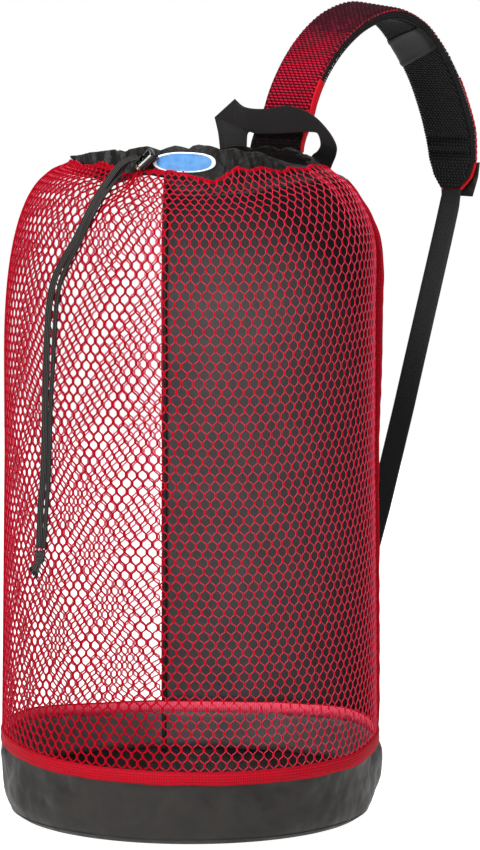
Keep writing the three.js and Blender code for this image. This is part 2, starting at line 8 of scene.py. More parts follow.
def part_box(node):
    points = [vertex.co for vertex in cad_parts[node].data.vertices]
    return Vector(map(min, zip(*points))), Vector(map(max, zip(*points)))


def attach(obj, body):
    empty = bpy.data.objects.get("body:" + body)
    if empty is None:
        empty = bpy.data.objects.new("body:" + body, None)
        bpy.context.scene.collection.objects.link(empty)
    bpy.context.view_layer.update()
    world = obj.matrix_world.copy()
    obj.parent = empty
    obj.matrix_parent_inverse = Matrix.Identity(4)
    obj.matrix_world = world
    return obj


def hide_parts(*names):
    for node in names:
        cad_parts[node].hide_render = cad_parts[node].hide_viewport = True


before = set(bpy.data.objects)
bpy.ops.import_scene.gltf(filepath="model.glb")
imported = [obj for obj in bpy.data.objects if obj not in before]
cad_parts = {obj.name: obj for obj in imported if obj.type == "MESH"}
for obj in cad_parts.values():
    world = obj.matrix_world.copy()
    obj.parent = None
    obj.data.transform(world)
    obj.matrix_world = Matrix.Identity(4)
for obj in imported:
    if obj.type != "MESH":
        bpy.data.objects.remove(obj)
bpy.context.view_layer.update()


# Base tub. A floor disc and a wall strip of PVC-coated polyester cloth, welded where the wall curls under to
# meet the floor. The strip is slack between binding and weld, so it keeps soft dents and slanted creases.
MM = 0.001
TUB_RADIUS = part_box("base_wall")[1].y
TUB_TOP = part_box("base_wall")[1].z - 3.5 * MM      # its last few millimetres are hidden in the binding
FLOOR_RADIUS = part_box("base_floor")[1].y
TUB = {"wall": 2 * MM, "corner_out": 200 * MM, "corner_up": 34 * MM, "columns": 360, "rows": 18, "full": 1.34}
DENT = {"size": 70 * MM, "depth": 5.5 * MM, "inwards": 1.2 * MM, "small": 30 * MM, "shallow": 2 * MM}
CREASE = {"size": 52 * MM, "height": 2.2 * MM, "sharp": 0.10, "slant": 1.1, "patch": 110 * MM}
TAIL_CLEAR = math.radians(7)     # half of the stretch at the back where the strap's webbing lies on the wall
WELT = {"radius": 0.8 * MM, "height": 6.2 * MM, "columns": 200, "sway": 0.8 * MM}
STRIP_SEAM = {"at": math.radians(-131), "half": 3 * MM, "thick": 1.2 * MM, "low": 26 * MM, "high": 67 * MM}
# Height by which the net draws the tub's edge up at both sides, in millimetres by degrees from the front
DRAWN_UP = np.array([
    (-180, 6.5), (-170, 4.5), (-158, 2), (-140, 1), (-111, 3), (-102, 5), (-92, 8), (-80, 11.5), (-62, 12),
    (-46, 11.5), (-34, 9.5), (-20, 6), (-7, 3), (10, 1), (30, 0), (50, -1), (75, -1), (98, 0), (106, 3),
    (115, 7), (125, 10), (140, 12), (158, 12), (168, 10), (180, 6.5)])
PULL_FROM = 20 * MM      # height of the wall at which that pull begins to show


def linear(code):
    """Linear RGBA of an sRGB hex colour."""
    shares = [int(code[k:k + 2], 16) / 255 for k in (1, 3, 5)]
    return [c / 12.92 if c <= 0.04045 else ((c + 0.055) / 1.055) ** 2.4 for c in shares] + [1]


def add(tree, kind, feeds=None, **settings):
    """Adds a node with its settings; feeds gives an input's value, or the output that is linked to it."""
    node = tree.nodes.new(kind)
    for name, value in settings.items():
        setattr(node, name, value)
    for name, value in (feeds or {}).items():
        if isinstance(value, bpy.types.NodeSocket):
            tree.links.new(value, node.inputs[name])
        else:
            node.inputs[name].default_value = value
    return node


def surface(name, colour, roughness, sockets=None):
    """New material with constant values on its shader; returns the material, its node tree and the shader."""
    made = bpy.data.materials.new(name)
    made.use_nodes = True
    shader = made.node_tree.nodes["Principled BSDF"]
    shader.inputs["Base Color"].default_value = linear(colour)
    shader.inputs["Roughness"].default_value = roughness
    for socket, value in (sockets or {}).items():
        shader.inputs[socket].default_value = value
    return made, made.node_tree, shader


def between(tree, shader, share, dark, light):
    """Base colour that goes from a dark to a light tone with a share."""
    mixed = add(tree, "ShaderNodeMix", {0: share, 6: linear(dark), 7: linear(light)}, data_type="RGBA")
    tree.links.new(mixed.outputs[2], shader.inputs["Base Color"])
    return mixed


def mottled(tree, shader, dark, light, size, place=None):
    """Base colour that drifts between two tones in patches of the given size, in the object's own space."""
    if place is None:
        place = add(tree, "ShaderNodeTexCoord").outputs["Object"]
    cloud = add(tree, "ShaderNodeTexNoise", {"Vector": place, "Scale": 1 / size, "Detail": 3})
    return between(tree, shader, cloud.outputs[0], dark, light)


def raised(tree, shader, height, depth, below=None):
    """Bump of a real depth on the shader, on top of another bump if one is given."""
    feeds = {"Height": height, "Strength": 1, "Distance": depth}
    if below is not None:
        feeds["Normal"] = below
    bump = add(tree, "ShaderNodeBump", feeds)
    tree.links.new(bump.outputs[0], shader.inputs["Normal"])
    return bump.outputs[0]


def polar(at, r, z):
    """Points at angles from the front (-Y) towards +X, at distances from the axis and heights."""
    at, r, z = np.broadcast_arrays(at, r, z)
    return np.stack([r * np.sin(at), -r * np.cos(at), z], -1)


def smooth(low, high, value):
    """Eased step from 0 at low to 1 at high."""
    share = np.clip((value - low) / (high - low), 0, 1)
    return share * share * (3 - 2 * share)


def within(starts, ends, value):
    """1 between two eased steps, one up and one down, and 0 outside them."""
    return smooth(*starts, value) * (1 - smooth(*ends, value))


def circle(count):
    """Angles at even steps once round."""
    return np.linspace(0, 2 * math.pi, count, endpoint=False)


def by_degrees(table, at):
    """Value of a table of degrees and millimetres at an angle, in metres."""
    return np.interp((np.degrees(at) + 180) % 360 - 180, *table.T) * MM


def wander(points, size, seed=0):
    """Smooth noise of about -1 to 1 at each point, in swells of the given size."""
    points = np.asarray(points, float)
    flat = points.reshape(-1, 3) / size + 31.7 * seed
    return np.array([noise.noise(p) for p in flat]).reshape(points.shape[:-1])


def away(at, centre):
    """Angle between a direction and a centre, without its sign."""
    return np.abs((at - centre + math.pi) % (2 * math.pi) - math.pi)


def edge_lift(at):
    """Height by which the tub's edge, its binding and the net's foot lie above their even level."""
    return by_degrees(DRAWN_UP, at)


def drawn_up(at, z):
    """Height of a point of the wall after the pull on its edge, which fades out towards the floor."""
    return z + edge_lift(at) * smooth(PULL_FROM, TUB_TOP, z)


def mesh_object(name, points, faces, finish, uv=None, flat_faces=0):
    """Object of one material from points and faces, smooth but for the last few faces."""
    mesh = bpy.data.meshes.new(name)
    mesh.from_pydata(np.asarray(points).reshape(-1, 3).tolist(), [], faces)
    if uv is not None:
        mesh.uv_layers.new(name="UVMap").data.foreach_set("uv", np.asarray(uv, np.float32).ravel())
    shade = np.ones(len(faces), bool)
    shade[len(faces) - flat_faces:] = False
    mesh.polygons.foreach_set("use_smooth", shade)
    mesh.materials.append(finish)
    made = bpy.data.objects.new(name, mesh)
    bpy.context.scene.collection.objects.link(made)
    return made


def loft(name, sections, finish, ring=False):
    """Closed skin through sections with equal numbers of corners. A ring joins its last section to its first,
    and other lofts are capped. The UV map holds metres round the section and metres along."""
    sections = np.asarray(sections, float)
    count, corners = sections.shape[:2]
    i, j = np.meshgrid(np.arange(count if ring else count - 1), np.arange(corners), indexing="ij")
    across = np.linalg.norm(np.roll(sections, -1, 1) - sections, axis=2).mean(0)
    along = np.linalg.norm(np.roll(sections, -1, 0) - sections, axis=2).mean(1)
    u = np.concatenate([[0], np.cumsum(across)])
    v = np.concatenate([[0], np.cumsum(along)])
    steps = [(0, 0), (0, 1), (1, 1), (1, 0)]
    quads = np.stack([(i + a) % count * corners + (j + b) % corners for a, b in steps], -1).reshape(-1, 4)
    uv = np.stack([np.stack([u[j + b], v[i + a]], -1) for a, b in steps], -2).reshape(-1, 4, 2)
    flat = sections.reshape(-1, 3)
    a, b, c, d = (flat[quads[:, k]] for k in range(4))
    volume = np.einsum("ij,ij->i", a, np.cross(b, c) + np.cross(c, d)).sum()
    caps = [] if ring else [list(range(corners))[::-1], list(range((count - 1) * corners, count * corners))]
    if volume < 0:
        quads, uv, caps = quads[:, ::-1], uv[:, ::-1], [cap[::-1] for cap in caps]
    uv = np.concatenate([uv.reshape(-1, 2), np.zeros((len(caps) * corners, 2))])
    return mesh_object(name, flat, quads.tolist() + caps, finish, uv, len(caps))


def hand_over(made, slot, *nodes, body="bag"):
    """The finished piece rides on its body and stands for the nodes named. Its slot is not used."""
    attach(made, body)
    if nodes:
        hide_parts(*nodes)
    return made


# Calendered PVC: charcoal, a dull gloss with a fine pebble grain, its gloss a little uneven where it has been
# handled. Its broad light and dark patches are in part painted shade for soft dents.
vinyl, tree, shader = surface("coated_polyester_vinyl", "#1a1817", 0.42, {"Specular IOR Level": 0.2})
GRAIN = 0.9 * MM
place = add(tree, "ShaderNodeTexCoord").outputs["Object"]
# Patches that are in part painted shade, standing for the shading of soft dents
mottled(tree, shader, "#131110", "#292623", 40 * MM, place)
pebbles = add(tree, "ShaderNodeTexVoronoi", {"Vector": place, "Scale": 1 / GRAIN})
rubbed = add(tree, "ShaderNodeTexNoise", {"Vector": place, "Scale": 1 / (30 * MM), "Detail": 4})
polish = add(tree, "ShaderNodeMapRange", {0: rubbed.outputs[0], 1: 0.3, 2: 0.7, 3: 0.46, 4: 0.64})
tree.links.new(polish.outputs[0], shader.inputs["Roughness"])
dimples = add(tree, "ShaderNodeTexNoise", {"Vector": place, "Scale": 1 / (42 * MM), "Detail": 2})
under = raised(tree, shader, dimples.outputs[0], 9 * MM)
raised(tree, shader, pebbles.outputs[0], 0.04 * MM, under)

turn = np.linspace(0, math.pi / 2, 8)
rise = np.linspace(0, 1, TUB["rows"] + 1)[1:]
sides = []
for inset in (0, TUB["wall"]):
    r = FLOOR_RADIUS + (TUB["corner_out"] - FLOOR_RADIUS - inset) * np.sin(turn)
    z = TUB["corner_up"] - (TUB["corner_up"] - inset) * np.cos(turn)
    up = TUB["corner_up"] + (TUB_TOP - TUB["corner_up"]) * rise
    out = TUB["corner_out"] + (TUB_RADIUS - TUB["corner_out"]) * np.minimum(1, rise * TUB["full"]) - inset
    sides.append((np.concatenate([r, out]), np.concatenate([z, up])))
(out_r, out_z), (in_r, in_z) = sides
strip_r = np.concatenate([out_r, in_r[::-1]])
strip_z = np.concatenate([out_z, in_z[::-1]])
columns = circle(TUB["columns"])[:, None]
rest = polar(columns, TUB_RADIUS, strip_z[None])
slack = within((10 * MM, 32 * MM), (60 * MM, 71 * MM), strip_z)
folds = 0
for lean in (-1, 1):
    slanted = polar(columns + lean * CREASE["slant"] * strip_z / TUB_RADIUS, TUB_RADIUS, 0.25 * strip_z)
    line = np.exp(-(wander(slanted, CREASE["size"], 3 + lean) / CREASE["sharp"]) ** 2)
    folds = folds + line * smooth(0.05, 0.4, wander(rest, CREASE["patch"], 6 + lean))
push = DENT["depth"] * wander(rest, DENT["size"], 1) + CREASE["height"] * folds - DENT["inwards"]
push = push + DENT["shallow"] * wander(rest * [1, 1, 0.7], DENT["small"], 2)
at_tail = 1 - smooth(TAIL_CLEAR, 2 * TAIL_CLEAR, away(columns, math.pi))
push = slack * (push * (1 - at_tail) - 0.5 * MM * at_tail)
tub = loft("tub_wall", polar(columns, strip_r + push, drawn_up(columns, strip_z)), vinyl, ring=True)
hand_over(tub, "vinyl", "base_wall")

# The cloth's uncoated inner side: plain polyester weave, matt, and a paler grey that is in part painted light,
# for the light that comes in through the net.
cloth_back, tree, shader = surface("uncoated_cloth_back", "#3a3536", 0.7, {"Specular IOR Level": 0.15})
# Partly painted light: the pale grey also stands for light coming through the net
mottled(tree, shader, "#403a3b", "#665d5f", 40 * MM)
heights = np.linspace(30 * MM, TUB_TOP - 9 * MM, 6)
wall_in = np.interp(heights, in_z, in_r)
lining_r = np.concatenate([wall_in - 0.1 * MM, wall_in[::-1] - 0.5 * MM])
lining_z = np.concatenate([heights, heights[::-1]])
inward = np.minimum(0, push[:, -TUB["rows"]:].min(1, keepdims=True)) - 0.6 * MM
lining = polar(columns, lining_r + inward, drawn_up(columns, lining_z))
hand_over(loft("tub_lining", lining, cloth_back, ring=True), "vinyl")

floor_rings = np.array([4 * MM, 60 * MM, 120 * MM, 165 * MM, FLOOR_RADIUS])
floor_r = np.concatenate([floor_rings, floor_rings[::-1]])
floor_z = np.concatenate([np.zeros(5), np.full(5, TUB["wall"])])
spokes = circle(96)
disc = polar(spokes[None], floor_r[:, None], floor_z[:, None])
hand_over(loft("tub_floor", disc, vinyl), "vinyl", "base_floor")

spokes = circle(WELT["columns"])[:, None]
round_off = circle(8)
sway = WELT["sway"] * wander(polar(spokes, TUB_RADIUS, 0.0), 80 * MM, 9)
welt_r = np.interp(WELT["height"] + sway, out_z, out_r) + 0.2 * MM + WELT["radius"] * np.cos(round_off)
welt_z = WELT["height"] + sway + WELT["radius"] * np.sin(round_off)
hand_over(loft("tub_welt", polar(spokes, welt_r, welt_z), vinyl, ring=True), "vinyl")

heights = np.linspace(STRIP_SEAM["low"], STRIP_SEAM["high"], 12)[:, None]
lap = np.array([(-1, 0), (-0.8, -1), (0.8, -1), (1, 0)])
lap_at = STRIP_SEAM["at"] + lap[:, 0] * STRIP_SEAM["half"] / TUB_RADIUS
lap_in = np.interp(lap_at % (2 * math.pi), columns[:, 0], inward[:, 0])
lap_r = np.interp(heights, in_z, in_r) + lap_in + lap[:, 1] * STRIP_SEAM["thick"] - 0.3 * MM
hand_over(loft("tub_strip_seam", polar(lap_at, lap_r, drawn_up(lap_at, heights)), vinyl), "vinyl")


# Base binding. A red woven tape folded over the tub's top edge and sewn through, with its ends lapped. It
# holds the net's lower hem as well, so it lies slightly wavy between its two rows of stitches.
TAPE_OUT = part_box("base_binding")[1].y
TAPE_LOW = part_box("base_binding")[0].z - 1.5 * MM
TAPE_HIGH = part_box("base_binding")[1].z - 3 * MM
TAPE = {"leg": 1.6 * MM, "fold": 1.5 * MM, "depth": 5.8 * MM, "rib": 2.4 * MM, "pick": 3.2 * MM}
TAPE_LAP = {"at": math.radians(71), "half": math.radians(3), "proud": 0.6 * MM}
STITCH = {"pitch": 3.6 * MM, "length": 2.7 * MM, "width": 0.8 * MM, "height": 0.5 * MM}
BANDS = math.pi / 10     # scale at which a wave texture has one band for each metre


def begun(name, inputs):
    """New node tree with named inputs, each with its kind of socket; returns the tree and those sockets."""
    tree = bpy.data.node_groups.new(name, "GeometryNodeTree")
    for label, kind in inputs.items():
        tree.interface.new_socket(label, in_out="INPUT", socket_type="NodeSocket" + kind)
    tree.interface.new_socket("Geometry", in_out="OUTPUT", socket_type="NodeSocketGeometry")
    return tree, add(tree, "NodeGroupInput").outputs


def ended(tree, shape, finish):
    """Ends a node tree: what it made becomes plain, smooth mesh with its material."""
    real = add(tree, "GeometryNodeRealizeInstances", {"Geometry": shape})
    soft = add(tree, "GeometryNodeSetShadeSmooth", {0: real.outputs[0]})
    painted = add(tree, "GeometryNodeSetMaterial", {"Geometry": soft.outputs[0], "Material": finish})
    add(tree, "NodeGroupOutput", {0: painted.outputs[0]})
    return tree


def grain_tree():
    """Node tree that sets a rounded grain on each point, turned to the point's own directions."""
    tree, given = begun("grains_on_points", {"Points": "Geometry", "Length": "Float", "Width": "Float",
                                             "Height": "Float", "Finish": "Material"})
    ball = add(tree, "GeometryNodeMeshUVSphere", {"Segments": 6, "Rings": 4, "Radius": 0.5})
    size = add(tree, "ShaderNodeCombineXYZ", {0: given["Length"], 1: given["Width"], 2: given["Height"]})
    grain = add(tree, "GeometryNodeTransform", {"Geometry": ball.outputs[0], "Scale": size.outputs[0]})
    along = add(tree, "GeometryNodeInputNamedAttribute", {"Name": "along"}, data_type="FLOAT_VECTOR")
    out = add(tree, "GeometryNodeInputNamedAttribute", {"Name": "out"}, data_type="FLOAT_VECTOR")
    lay = add(tree, "FunctionNodeAlignRotationToVector", {"Vector": along.outputs[0]}, axis="X")
    stand = add(tree, "FunctionNodeAlignRotationToVector",
                {"Rotation": lay.outputs[0], "Vector": out.outputs[0]}, axis="Z", pivot_axis="X")
    strewn = add(tree, "GeometryNodeInstanceOnPoints",
                 {"Points": given["Points"], "Instance": grain.outputs[0], "Rotation": stand.outputs[0]})
    return ended(tree, strewn.outputs[0], given["Finish"])


def grown(name, seed_mesh, tree, inputs):
    """Plain mesh object that a node tree makes of a mesh; inputs are set by each socket's identifier."""
    seedling = bpy.data.objects.new(name + "_seed", seed_mesh)
    bpy.context.scene.collection.objects.link(seedling)
    modifier = seedling.modifiers.new("grown", "NODES")
    modifier.node_group = tree
    for item in tree.interface.items_tree:
        if item.in_out == "INPUT" and item.name in inputs:
            modifier[item.identifier] = inputs[item.name]
    graph = bpy.context.evaluated_depsgraph_get()
    mesh = bpy.data.meshes.new_from_object(seedling.evaluated_get(graph))
    mesh.name = name
    made = bpy.data.objects.new(name, mesh)
    bpy.context.scene.collection.objects.link(made)
    bpy.data.objects.remove(seedling)
    return made


def with_values(mesh, values):
    """Adds named numbers, one for each point, to a mesh."""
    for label, numbers in values.items():
        kept = mesh.attributes.new(label, "FLOAT", "POINT")
        kept.data.foreach_set("value", np.ascontiguousarray(numbers, np.float32))


GRAINS = grain_tree()


def grains(name, points, along, out, size, finish, tint=None):
    """Small rounded pieces, such as stitches or knitted loops, laid on a surface."""
    mesh = bpy.data.meshes.new(name + "_points")
    mesh.from_pydata(np.asarray(points).tolist(), [], [])
    for label, values in (("along", along), ("out", out)):
        vectors = np.ascontiguousarray(np.broadcast_to(values, np.shape(points)), np.float32)
        mesh.attributes.new(label, "FLOAT_VECTOR", "POINT").data.foreach_set("vector", vectors.ravel())
    if tint is not None:
        with_values(mesh, {"tint": tint})
    length, width, height = size
    return grown(name, mesh, GRAINS, {"Length": length, "Width": width, "Height": height, "Finish": finish})


STITCH_SIZE = (STITCH["length"], STITCH["width"], STITCH["height"])


def ring_stitches(name, r, z, finish):
    """Row of stitches round the bag at a distance from its axis and a height."""
    at = circle(round(2 * math.pi * r / STITCH["pitch"]))
    spots = polar(at, r, z + edge_lift(at))
    return grains(name, spots, polar(at + math.pi / 2, 1.0, 0.0), polar(at, 1.0, 0.0), STITCH_SIZE, finish)


# Woven polyester tape: deep red, dull, with fine ribs along it and picks across that show as short dashes.
red_tape, tree, shader = surface("woven_red_tape", "#b80a20", 0.7, {"Specular IOR Level": 0.08})
lay = add(tree, "ShaderNodeUVMap", uv_map="UVMap").outputs[0]
ribs = add(tree, "ShaderNodeTexWave", {"Vector": lay, "Scale": BANDS / TAPE["rib"], "Distortion": 0.8,
                                       "Detail": 1, "Detail Scale": 2}, bands_direction="Y")
picks = add(tree, "ShaderNodeTexWave", {"Vector": lay, "Scale": BANDS / TAPE["pick"]}, bands_direction="X")
weave = add(tree, "ShaderNodeMath", {0: ribs.outputs[1], 1: picks.outputs[1]}, operation="MULTIPLY")
between(tree, shader, weave.outputs[0], "#820314", "#b4081e")
raised(tree, shader, weave.outputs[0], 0.3 * MM)

# Polyester sewing thread: a brighter red than the tape, with a faint sheen.
red_thread, tree, shader = surface("red_sewing_thread", "#c00c24", 0.55, {"Specular IOR Level": 0.12})
mottled(tree, shader, "#900618", "#bc0e26", 5 * MM)

spokes = circle(360)[:, None]
inner = TAPE_OUT - TAPE["depth"]
fold = TAPE["fold"]
leg = TAPE["leg"]
web = TAPE_HIGH - leg - 0.4 * MM
middle = (TAPE_LOW + TAPE_HIGH) / 2
tape_line = np.array([
    (TAPE_OUT, TAPE_LOW), (TAPE_OUT, middle), (TAPE_OUT, TAPE_HIGH - fold),
    (TAPE_OUT - 0.3 * fold, TAPE_HIGH - 0.3 * fold), (TAPE_OUT - fold, TAPE_HIGH), (inner + fold, TAPE_HIGH),
    (inner + 0.3 * fold, TAPE_HIGH - 0.3 * fold), (inner, TAPE_HIGH - fold), (inner, middle), (inner, TAPE_LOW),
    (inner + leg, TAPE_LOW), (inner + leg, web), (TAPE_OUT - leg, web), (TAPE_OUT - leg, TAPE_LOW)])
tape_r, tape_z = tape_line.T
rest = polar(spokes, TAPE_OUT, tape_z[None])
lapped = TAPE_LAP["proud"] * (away(spokes, TAPE_LAP["at"]) < TAPE_LAP["half"]) * (tape_r > TAPE_OUT - leg / 2)
waved_r = tape_r + lapped + 0.5 * MM * wander(rest, 30 * MM, 3)
waved_z = tape_z + 0.9 * MM * wander(polar(spokes, TAPE_OUT, 0.0), 24 * MM, 4) * (tape_z < TAPE_LOW + MM)
waved_z = waved_z + edge_lift(spokes)
hand_over(loft("base_tape", polar(spokes, waved_r, waved_z), red_tape, ring=True), "red_tape", "base_binding")
STITCH_ROWS = {"low": (TAPE_OUT + 0.1 * MM, TAPE_LOW + 3 * MM),
               "high": (TAPE_OUT + 0.1 * MM, TAPE_HIGH - 3.5 * MM),
               "inside": (inner - 0.1 * MM, TAPE_HIGH - 5 * MM)}
for name, (r, z) in STITCH_ROWS.items():
    hand_over(ring_stitches("base_tape_stitches_" + name, r, z, red_thread), "red_tape")

# The leg inside shows the tape's wrong side, with the same ribs and matt; it is painted paler and pinker,
# painted light for the light that comes in through the net.
pale_tape, tree, shader = surface("tape_wrong_side_painted_light", "#f04a60", 0.7, {"Specular IOR Level": 0.1})
lay = add(tree, "ShaderNodeUVMap", uv_map="UVMap").outputs[0]
ribs = add(tree, "ShaderNodeTexWave", {"Vector": lay, "Scale": BANDS / TAPE["rib"]}, bands_direction="Y")
# Painted light: both tones are paler than the tape's own red
between(tree, shader, ribs.outputs[1], "#e04058", "#fa5e74")
raised(tree, shader, ribs.outputs[1], 0.2 * MM)
lining_r = inner - np.array([0.1, 0.5, 0.5, 0.1]) * MM
lining_z = np.array([TAPE_LOW + 0.3 * MM, TAPE_LOW + 0.3 * MM, TAPE_HIGH - 0.6 * fold, TAPE_HIGH - 0.6 * fold])
lining = polar(spokes, lining_r, lining_z + edge_lift(spokes))
hand_over(loft("base_tape_lining", lining, pale_tape, ring=True), "red_tape")


# Net body. A knitted polyester net of pointed cells: two threads run side by side up each short bar, part to
# their neighbours and come back. It hangs from the collar's seam, where it is gathered into dense pleats.
BODY = {"bottom": 79.0 * MM, "side": 197 * MM, "flare": 4.3 * MM, "flare_top": 390 * MM, "shoulder": 480 * MM,
        "power": 2 / 2.5, "straight": 0.61}
MOUTH = {"radius": 136 * MM, "back": 20 * MM, "seam": 699 * MM, "dip": 23 * MM, "dip_at": math.radians(41)}
COLLAR = {"wall": 2 * MM, "rim_gap": 1.2 * MM, "ruffles": 24, "depth": 5 * MM, "top": 705 * MM, "rise": 11 * MM,
          "side_lean": 16 * MM, "front_lean": 6 * MM, "left_lean": 2 * MM, "left_starts": (-1.9, -1.3),
          "left_ends": (-0.5, -0.1), "wave": 2 * MM}
QUIET = {"centre": math.radians(40), "half": math.radians(104), "core": math.radians(84), "share": 0.94}
SEAM_AT = math.radians(131)
NET = {"columns": 77, "rows": 72, "rows_over": 14, "stretch": 0.13, "bar": 0.44, "bend": 0.2, "bend_at": 0.28,
       "thread": 0.52 * MM, "pair": 0.55 * MM, "sides": 5, "jitter": 0.06, "sway": 0.012, "twist": 0.16,
       "gather": 0.3, "gather_from": 0.86, "pleat": 1.6 * MM, "lift": 1.6 * MM, "bridge": 40 * MM,
       "bridge_reach": 95 * MM}
# The cells are drawn together over the last part of the wall, between these degrees from the front
TIGHT = {"by": 0.26, "from": 0.955, "starts": (-60, -40), "ends": (42, 58)}
# Swell of a thread on its bars and its slants, and how much less each has where the net is taut at the right
SWELL = {"bar": 1.95, "bar_less": 0.79, "slant": 1.9, "slant_less": 0.98, "taut_from": 18, "taut_to": 45}
NET_END = SEAM_AT - math.radians(0.9)
# Sag of the collar's seam at both shoulders in millimetres, by degrees from the front
SAG = np.array([
    (-180, 0), (-125, 0), (-95, 4), (-60, 6), (-35, 4), (-12, 0), (82, 0), (105, 5), (125, 11), (140, 18),
    (155, 14), (168, 3), (180, 0)])
# The right shoulder is fuller than the left, between these angles from the front
FULL = {"by": 7 * MM, "share": 0.77, "spread": 0.075, "starts": (1.4, 1.88), "ends": (2.44, 2.88)}
COLUMN = 2 * NET_END * BODY["side"] / NET["columns"]
# Height of the net's edge over the collar's seam in millimetres, by degrees from the front
TONGUES = np.array([
    (-180, -1), (-70, 0), (-42, 3), (-26, -1), (-14, 8), (-5, 9), (4, 3), (14, 7), (18, 13), (31, 16), (37, 14),
    (46, 6), (51, 1), (58, 11), (64, 19), (69, 12), (76, 14), (80, 9), (86, 3), (91, 8), (98, 3), (102, 1),
    (107, 5), (111, 7), (116, 5), (122, 4), (128, 3), (180, 3)])
# Threads bunched along the free edge, which hang looser between two angles at the left of the lock
EDGE = {"threads": 8, "steps": 420, "loose": 1.8 * MM, "looser": 3.2 * MM, "starts": (-50, -40),
        "ends": (-8, 6)}
# Bundles of cells drawn together beside the cord, at the right shoulder and out of sight on the left
BUNDLES = [
    {"at": 0.24, "lean": -0.9, "width": 0.12, "from": 0.60, "pull": 0.88},
    {"at": 1.79, "lean": 0.3, "width": 0.11, "from": 0.76, "pull": 0.86},
    {"at": -1.1, "lean": 0.2, "width": 0.15, "from": 0.76, "pull": 0.45},
]


def front_share(at):
    """How much a direction belongs to the front, where the mouth dips and its collar stands up."""
    return np.maximum(0, np.cos(at - MOUTH["dip_at"])) ** 2


def seam_height(at):
    """Height of the collar's seam, which dips at the front and sags at the shoulders."""
    return MOUTH["seam"] - MOUTH["dip"] * front_share(at) - by_degrees(SAG, at)


def mouth_radius(at):
    """Distance from the bag's axis to the mouth's circle, whose centre lies towards the back."""
    along = -MOUTH["back"] * np.cos(at)
    return along + np.sqrt(along ** 2 - MOUTH["back"] ** 2 + MOUTH["radius"] ** 2)


def body_middle(at, share):
    """Middle of the body's wall by angle and share of the way up from binding to collar seam."""
    at, share = np.broadcast_arrays(at, share)
    foot = BODY["bottom"] + edge_lift(at)
    z_low = foot + (BODY["shoulder"] - foot) * share / BODY["straight"]
    flared = np.maximum(0, (BODY["flare_top"] - z_low) / (BODY["flare_top"] - BODY["bottom"]))
    turn = np.clip((share - BODY["straight"]) / (1 - BODY["straight"]), 0, 1) * math.pi / 2
    out = np.maximum(0, np.cos(turn)) ** BODY["power"]
    up = np.sin(turn) ** BODY["power"]
    at_right = within(FULL["starts"], FULL["ends"], at)
    fuller = FULL["by"] * at_right * np.exp(-((share - FULL["share"]) / FULL["spread"]) ** 2)
    r_high = mouth_radius(at) + (BODY["side"] - mouth_radius(at)) * out + fuller
    z_high = BODY["shoulder"] + (seam_height(at) - BODY["shoulder"]) * up
    low = share <= BODY["straight"]
    return polar(at, np.where(low, BODY["side"] + BODY["flare"] * flared, r_high), np.where(low, z_low, z_high))


def body_out(at, share):
    """Unit vectors that look outwards from the body's wall."""
    step = 0.002
    across = body_middle(at + step, share) - body_middle(at - step, share)
    along = body_middle(at, np.minimum(share + step, 1)) - body_middle(at, np.maximum(share - step, 0))
    out = np.cross(across, along)
    return out / np.linalg.norm(out, axis=-1, keepdims=True)


def body(at, share, offset=0.0):
    at, share, offset = np.broadcast_arrays(at, share, offset)
    return body_middle(at, share) + body_out(at, share) * offset[..., None]


def quiet(at):
    """1 where the collar ruffles fully, and little in the flat stretch behind lock and patch."""
    return 1 - QUIET["share"] * (1 - smooth(QUIET["core"], QUIET["half"], away(at, QUIET["centre"])))


def collar_height(at):
    return COLLAR["top"] + COLLAR["rise"] * front_share(at) - seam_height(at) + COLLAR["wall"] / 2


def collar(at, share, offset=0.0):
    """Collar's wall by angle, share of the way from its seam to its free edge, and distance outwards."""
    at, share, offset = np.broadcast_arrays(at, share, offset)
    front = front_share(at)
    lean = COLLAR["side_lean"] + (COLLAR["front_lean"] - COLLAR["side_lean"]) * front
    upright = within(COLLAR["left_starts"], COLLAR["left_ends"], at)
    lean = lean + (COLLAR["left_lean"] - lean) * upright
    ruffle = COLLAR["depth"] * np.cos(COLLAR["ruffles"] * at) * quiet(at) * share
    wave = COLLAR["wave"] * np.sin(COLLAR["ruffles"] * at) * quiet(at) * share
    r = mouth_radius(at) - COLLAR["rim_gap"] - COLLAR["wall"] / 2 - lean * share + ruffle + offset
    return polar(at, r, seam_height(at) - COLLAR["wall"] / 2 + collar_height(at) * share + wave)


def gathered(at, share):
    """Angle of a net column after the pull of pleats and bundles."""
    near_top = smooth(NET["gather_from"], 1, share) * (0.35 + 0.65 * quiet(at))
    moved = at - NET["gather"] * near_top * np.sin(COLLAR["ruffles"] * at) / COLLAR["ruffles"]
    for bundle in BUNDLES:
        line = bundle["at"] + bundle["lean"] * (1 - share)
        strength = bundle["pull"] * smooth(bundle["from"], 0.97, share)
        moved = moved + strength * (line - at) * np.exp(-((at - line) / bundle["width"]) ** 2)
    return moved


def column_angle(column):
    return (column / NET["columns"] - 0.5) * 2 * NET_END


# Lengths up the wall at every half column, and the shares that lie at even steps of those lengths
WALL_STEPS = np.linspace(0, 1, 201)
HALF_COLUMNS = np.arange(2 * NET["columns"] + 1) / 2
walls = body_middle(column_angle(HALF_COLUMNS)[:, None], WALL_STEPS[None])
pieces = np.linalg.norm(np.diff(walls, axis=1), axis=2)
rulers = np.concatenate([np.zeros((len(walls), 1)), np.cumsum(pieces, 1)], 1)
WALL_LENGTHS = rulers[:, -1]
EVEN_SHARES = np.array([np.interp(WALL_STEPS, ruler / ruler[-1], WALL_STEPS) for ruler in rulers])


def wall_length(column):
    return np.interp(column, HALF_COLUMNS, WALL_LENGTHS)


